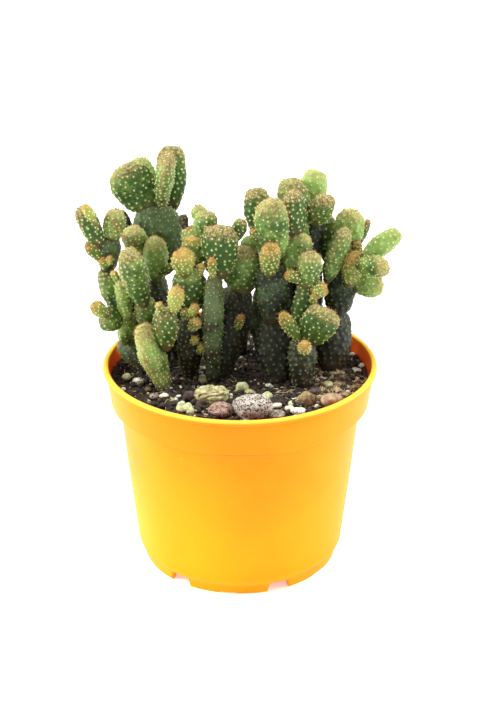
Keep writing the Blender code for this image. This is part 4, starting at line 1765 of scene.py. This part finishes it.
@dataclass(frozen=True)
class Rock:
    """A stone: where it lies, its size, its unevenness and how deep its pits are.

    `lump_size` and the depth of `lumps` and `furrows` are shares of its least side, and finer
    lumps are `fine_share` of the coarse ones. `plump` fills it out all round. With a `node`,
    it takes that CAD node's shape and place.
    """

    name: str
    finish: str
    place: tuple[float, float, float] = (0, 0, 0)
    size: tuple[float, float, float] = (5, 4, 3)
    turn: float = 0.0
    lumps: float = 0.26
    lump_size: float = 0.5
    fine_share: float = 0.35
    pits: int = 0
    pit_size: float = 0.9
    furrows: float = 0.0
    plump: float = 0.0
    node: str = ""
    detail: int = 3

    def build(self, palette: Palette) -> None:
        """Model the stone and dress it.

        Args:
            palette: The finishes.
        """
        draw = random.Random(self.name)
        if self.node:
            mesh = Workshop.close(Workshop.merged_copy(self.node), self.name)
            mesh = Workshop.rounded(mesh, 3)
            low, high = (np.array(corner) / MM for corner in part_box(self.node))
            size = high - low
        else:
            bm = bmesh.new()
            matrix = (
                Matrix.Translation(Vector(self.place) * MM)
                @ Matrix.Rotation(math.radians(self.turn), 4, "Z")
                @ Matrix.Diagonal((*(side * MM for side in self.size), 1))
            )
            bmesh.ops.create_icosphere(bm, subdivisions=self.detail, radius=0.5, matrix=matrix)
            mesh = Workshop.close(bm, self.name)
            size = np.array(self.size)
        points = Workshop.points(mesh)
        normals = Workshop.normals(mesh)
        scale = float(min(size))
        seed = draw.uniform(0, 50)
        swell = clouds(points, scale * self.lump_size, seed) * self.lumps
        fine = self.fine_share
        swell += clouds(points, scale * self.lump_size * fine, seed + 9) * self.lumps * fine
        if self.furrows:
            wave = clouds(points * np.array([0.35, 1, 1]), scale * 0.22, seed + 4)
            swell -= np.clip(0.28 - np.abs(wave), 0, 1) * self.furrows
        points += normals * ((swell * scale * 0.5 + self.plump) * MM)[:, None]
        pit = np.zeros(len(points))
        for _ in range(self.pits):
            spot = points[draw.randrange(len(points))]
            radius = self.pit_size * draw.uniform(0.5, 1.2) * MM
            away = np.linalg.norm(points - spot, axis=1) / radius
            pit = np.maximum(pit, np.clip(1 - away**2, 0, 1))
        points -= normals * (pit * self.pit_size * 0.55 * MM)[:, None]
        Workshop.move(mesh, points)
        # Marks the pits for their painted shade.
        Workshop.mark(mesh, "pit", pit)
        finish = palette.minerals[self.finish]
        if self.node:
            Workshop.piece(self.name, mesh, finish, SLOTS[self.node], (self.node,))
        else:
            Workshop.piece(self.name, mesh, finish, "potting_soil")


@dataclass
class Grit:
    """The loose stones and the grains of perlite on the soil."""

    soil: Soil
    rocks: tuple[Rock, ...]
    grains: int = 340
    grain_size: float = 0.3
    grain_spread: float = 1.0

    def build(self, palette: Palette) -> None:
        """Build the stones and scatter the perlite.

        Args:
            palette: The finishes.
        """
        for rock in self.rocks:
            rock.build(palette)
        self.scatter_perlite(palette)
        LOG.info("stones: %d", len(self.rocks))

    def scatter_perlite(self, palette: Palette) -> None:
        """Scatter pale grains round the edge of the bed.

        Args:
            palette: The finishes.
        """
        draw = random.Random(21)
        bm = bmesh.new()
        for _ in range(self.grains):
            reach = self.soil.radius * (1 - 0.75 * draw.random() ** 1.6) * 0.96
            turn = draw.uniform(0, math.tau)
            x, y = reach * math.cos(turn), reach * math.sin(turn)
            size = (self.grain_size + self.grain_spread * draw.random() ** 2) * MM
            made = bmesh.ops.create_icosphere(
                bm,
                subdivisions=2,
                radius=size,
                matrix=Matrix.Translation((x, y, self.soil.height_at(x, y) + size * self.soil.perch))
                @ Matrix.Rotation(draw.uniform(0, math.tau), 4, "Z")
                @ Matrix.Diagonal((draw.uniform(0.8, 1.5), 1, draw.uniform(0.6, 0.9), 1)),
            )
            for vert in made["verts"]:
                vert.co += Vector((draw.uniform(-1, 1) for _ in range(3))) * size * 0.1
        mesh = Workshop.close(bm, "perlite_grains")
        Workshop.mark(mesh, "pit", np.zeros(len(mesh.vertices)))
        Workshop.piece("perlite_grains", mesh, palette.minerals["Perlite"], "potting_soil")


ROCKS: tuple[Rock, ...] = (
    Rock("furrowed_pebble", "Olive stone", node="olive_pebble", furrows=1.2, lumps=0.1, plump=0.6),
    Rock("porous_pumice", "Pumice", node="pumice_stone", pits=46, lumps=0.16, plump=1.0),
    Rock("tan_stone", "Smooth stone", node="smooth_stone", lumps=0.12),
    Rock("red_lava", "Lava", (-8, -40.5, 94), (13, 10, 6), -1, pits=34, detail=4),
    Rock("purple_rock", "Dark rock", (-23.5, -25, 93.5), (6, 5.5, 5.5), 9, detail=4),
    Rock("brown_rock", "Brown rock", (30, -31.5, 94.5), (8.5, 7.5, 7.5), -4, detail=4),
    Rock("flat_pumice", "Grey pumice", (15.5, -43, 93), (10.5, 7.5, 3.5), 7, pits=20, detail=4),
    Rock("cream_ball", "Pale green stone", (12.5, -25.5, 93.5), (5, 5, 4), -19),
    Rock("cream_chip", "Perlite", (17, -34, 93), (4.5, 3.5, 2.5), 24),
    Rock("white_chip", "Perlite", (22.5, -37, 93), (4.5, 3.5, 2.5), 7),
    Rock("white_chunk", "Perlite", (26.5, -39.5, 93), (7.5, 5, 3), 0),
    Rock("pale_green_chip", "Pale green stone", (24, -32, 93), (4, 3.5, 2.5), -1),
    Rock("green_cluster", "Pale green stone", (-25.5, -37.5, 93.5),
         (7.5, 6, 4.5), -4, lumps=0.5, detail=4),
    Rock("green_cluster_small", "Pale green stone", (-22.5, -40, 93), (4.5, 3.5, 3.5), 24, lumps=0.4),
    Rock("grey_chip", "Grey pumice", (-39.5, -24.5, 93), (5, 4, 3), 0),
    Rock("white_fragment", "Perlite", (-35, -26, 93.5), (4.5, 3.5, 4), 6, lumps=0.35),
    Rock("green_ball", "Pale green stone", (-54, -3.5, 93), (4.5, 4.5, 3.5), 10),
    Rock("left_white_chip", "Perlite", (-48, -8.5, 93), (5.5, 3.5, 4), 10),
    Rock("olive_bit", "Olive stone", (-17.5, -7, 93), (5, 4, 3), -20),
    Rock("rear_green_cluster", "Pale green stone", (1, -15.5, 93.5), (6.5, 5, 5), 15, lumps=0.4),
    Rock("rear_olive_chip", "Olive stone", (4.5, -19, 92.5), (5.5, 4.5, 2.5), -25),
    Rock("right_ball", "Pale green stone", (41.5, -11.5, 93), (4.5, 4.5, 3), -21),
    Rock("right_white_ball", "Perlite", (48.5, 9, 93), (3.5, 3.5, 3), -19),
    Rock("right_cream_ball", "Perlite", (45.5, 8, 93), (3.5, 3.5, 2.5), 9),
    Rock("right_rim_chip", "Perlite", (55.5, 5.5, 92.5), (5, 4, 2), -10),
    Rock("right_tan_chip", "Brown rock", (49.5, -22.5, 93), (5, 4, 2.5), 5),
    Rock("left_tan_chip", "Brown rock", (-43, -15.5, 92.5), (3.5, 3, 2), -16),
    Rock("front_olive_chip", "Olive stone", (-31.5, -27, 92.5), (4, 3.5, 2), 6),
    Rock("front_brown_chip", "Brown rock", (3.5, -43.5, 93), (7, 4.5, 3), 11),
    Rock("front_dark_chip", "Dark rock", (-17.5, -30, 92.5), (5.5, 4.5, 2.5), -19),
    Rock("left_dark_chip", "Dark rock", (-34, -13, 93), (4.5, 4, 2.5), 17),
    Rock("right_dark_chip", "Dark rock", (35, -17, 92.5), (6, 5, 2), -25),
    Rock("right_pale_grain", "Perlite", (55, 23.5, 92.5), (3, 3, 2), -6),
    Rock("right_white_grain", "Perlite", (58.5, 11, 92.5), (3.5, 3.5, 2), 6),
)


# --------------------------------------------------------------------------------------
# Studio
# --------------------------------------------------------------------------------------


@dataclass(frozen=True)
class SoftBox:
    """A large soft light: where it hangs and its width, both in metres, and its power."""

    name: str
    place: tuple[float, float, float]
    size: float
    watts: float
    colour: tuple[float, float, float] = (1.0, 1.0, 1.0)

    def hang(self, target: Vector) -> None:
        """Hang the light and turn it to the target.

        Args:
            target: The place that it faces.
        """
        lamp = bpy.data.lights.new(self.name, "AREA")
        lamp.size = self.size
        lamp.energy = self.watts
        lamp.color = self.colour
        holder = Workshop.put(self.name, lamp)
        holder.location = self.place
        holder.rotation_euler = (target - Vector(self.place)).to_track_quat("-Z", "Y").to_euler()


@dataclass
class Studio:
    """A pale floor that curves up far away, soft lights and the camera, in metres.

    The floor is level out to `floor_flat` and then rises as `floor_rise` times the way beyond
    it to the power of `floor_curl`. The lights face `target`. The lens and its sensor are in
    millimetres and the pitch is in degrees.
    """

    camera_height: float = 0.42241
    camera_distance: float = 0.7
    camera_pitch: float = 24.71
    lens: float = 81.19
    sensor: float = 36.0
    clip: tuple[float, float] = (0.01, 50.0)
    floor_size: float = 12.0
    floor_cells: int = 60
    floor_flat: float = 3.2
    floor_rise: float = 0.45
    floor_curl: float = 1.5
    air_light: float = 0.08
    target: tuple[float, float, float] = (0, 0, 0.1)
    boxes: tuple[SoftBox, ...] = (
        SoftBox("left_box", (-1.15, -0.1, 0.75), 0.8, 24.5),
        SoftBox("right_box", (1.15, 0.1, 0.7), 0.8, 18.5),
        SoftBox("top_box", (-0.05, 0.15, 1.3), 0.8, 18.5),
        SoftBox("front_box", (-0.3, -1.4, 1.0), 0.8, 0.6),
    )

    def build(self, palette: Palette) -> None:
        """Set up the floor, the lights and the camera.

        Args:
            palette: The finishes; not used.
        """
        bm = bmesh.new()
        cells = self.floor_cells
        bmesh.ops.create_grid(bm, x_segments=cells, y_segments=cells, size=self.floor_size / 2)
        for vert in bm.verts:
            beyond = max(vert.co.xy.length - self.floor_flat, 0.0)
            vert.co.z = self.floor_rise * beyond**self.floor_curl
        mesh = Workshop.close(bm, "studio_floor")
        mesh.shade_smooth()
        mesh.materials.append(StudioPaper().material())
        Workshop.put("studio_floor", mesh)
        for box in self.boxes:
            box.hang(Vector(self.target))
        world = bpy.data.worlds.new("studio_air")
        world.use_nodes = True
        background = world.node_tree.nodes["Background"]
        background.inputs["Color"].default_value = (1.0, 1.0, 1.0, 1.0)
        background.inputs["Strength"].default_value = self.air_light
        bpy.context.scene.world = world
        bpy.context.scene.view_settings.view_transform = "Standard"
        self.place_camera()

    def place_camera(self) -> None:
        """Set the camera at the front, looking a little down."""
        lens = bpy.data.cameras.new("studio_camera")
        lens.lens = self.lens
        lens.sensor_width = lens.sensor_height = self.sensor
        lens.clip_start, lens.clip_end = self.clip
        camera = Workshop.put("studio_camera", lens)
        camera.location = (0.0, -self.camera_distance, self.camera_height)
        camera.rotation_euler = (math.radians(90 - self.camera_pitch), 0.0, 0.0)
        bpy.context.scene.camera = camera


def main() -> None:
    """Build every part of the potted cactus and the studio round it."""
    logging.basicConfig(level=logging.INFO, format="%(name)s: %(message)s")
    palette = Palette()
    NurseryPot().build(palette)
    soil = Soil()
    soil.build(palette)
    Grit(soil, ROCKS).build(palette)
    Clump(PADS, BUDS).build(palette)
    Studio().build(palette)


if __name__ == "__main__":
    main()
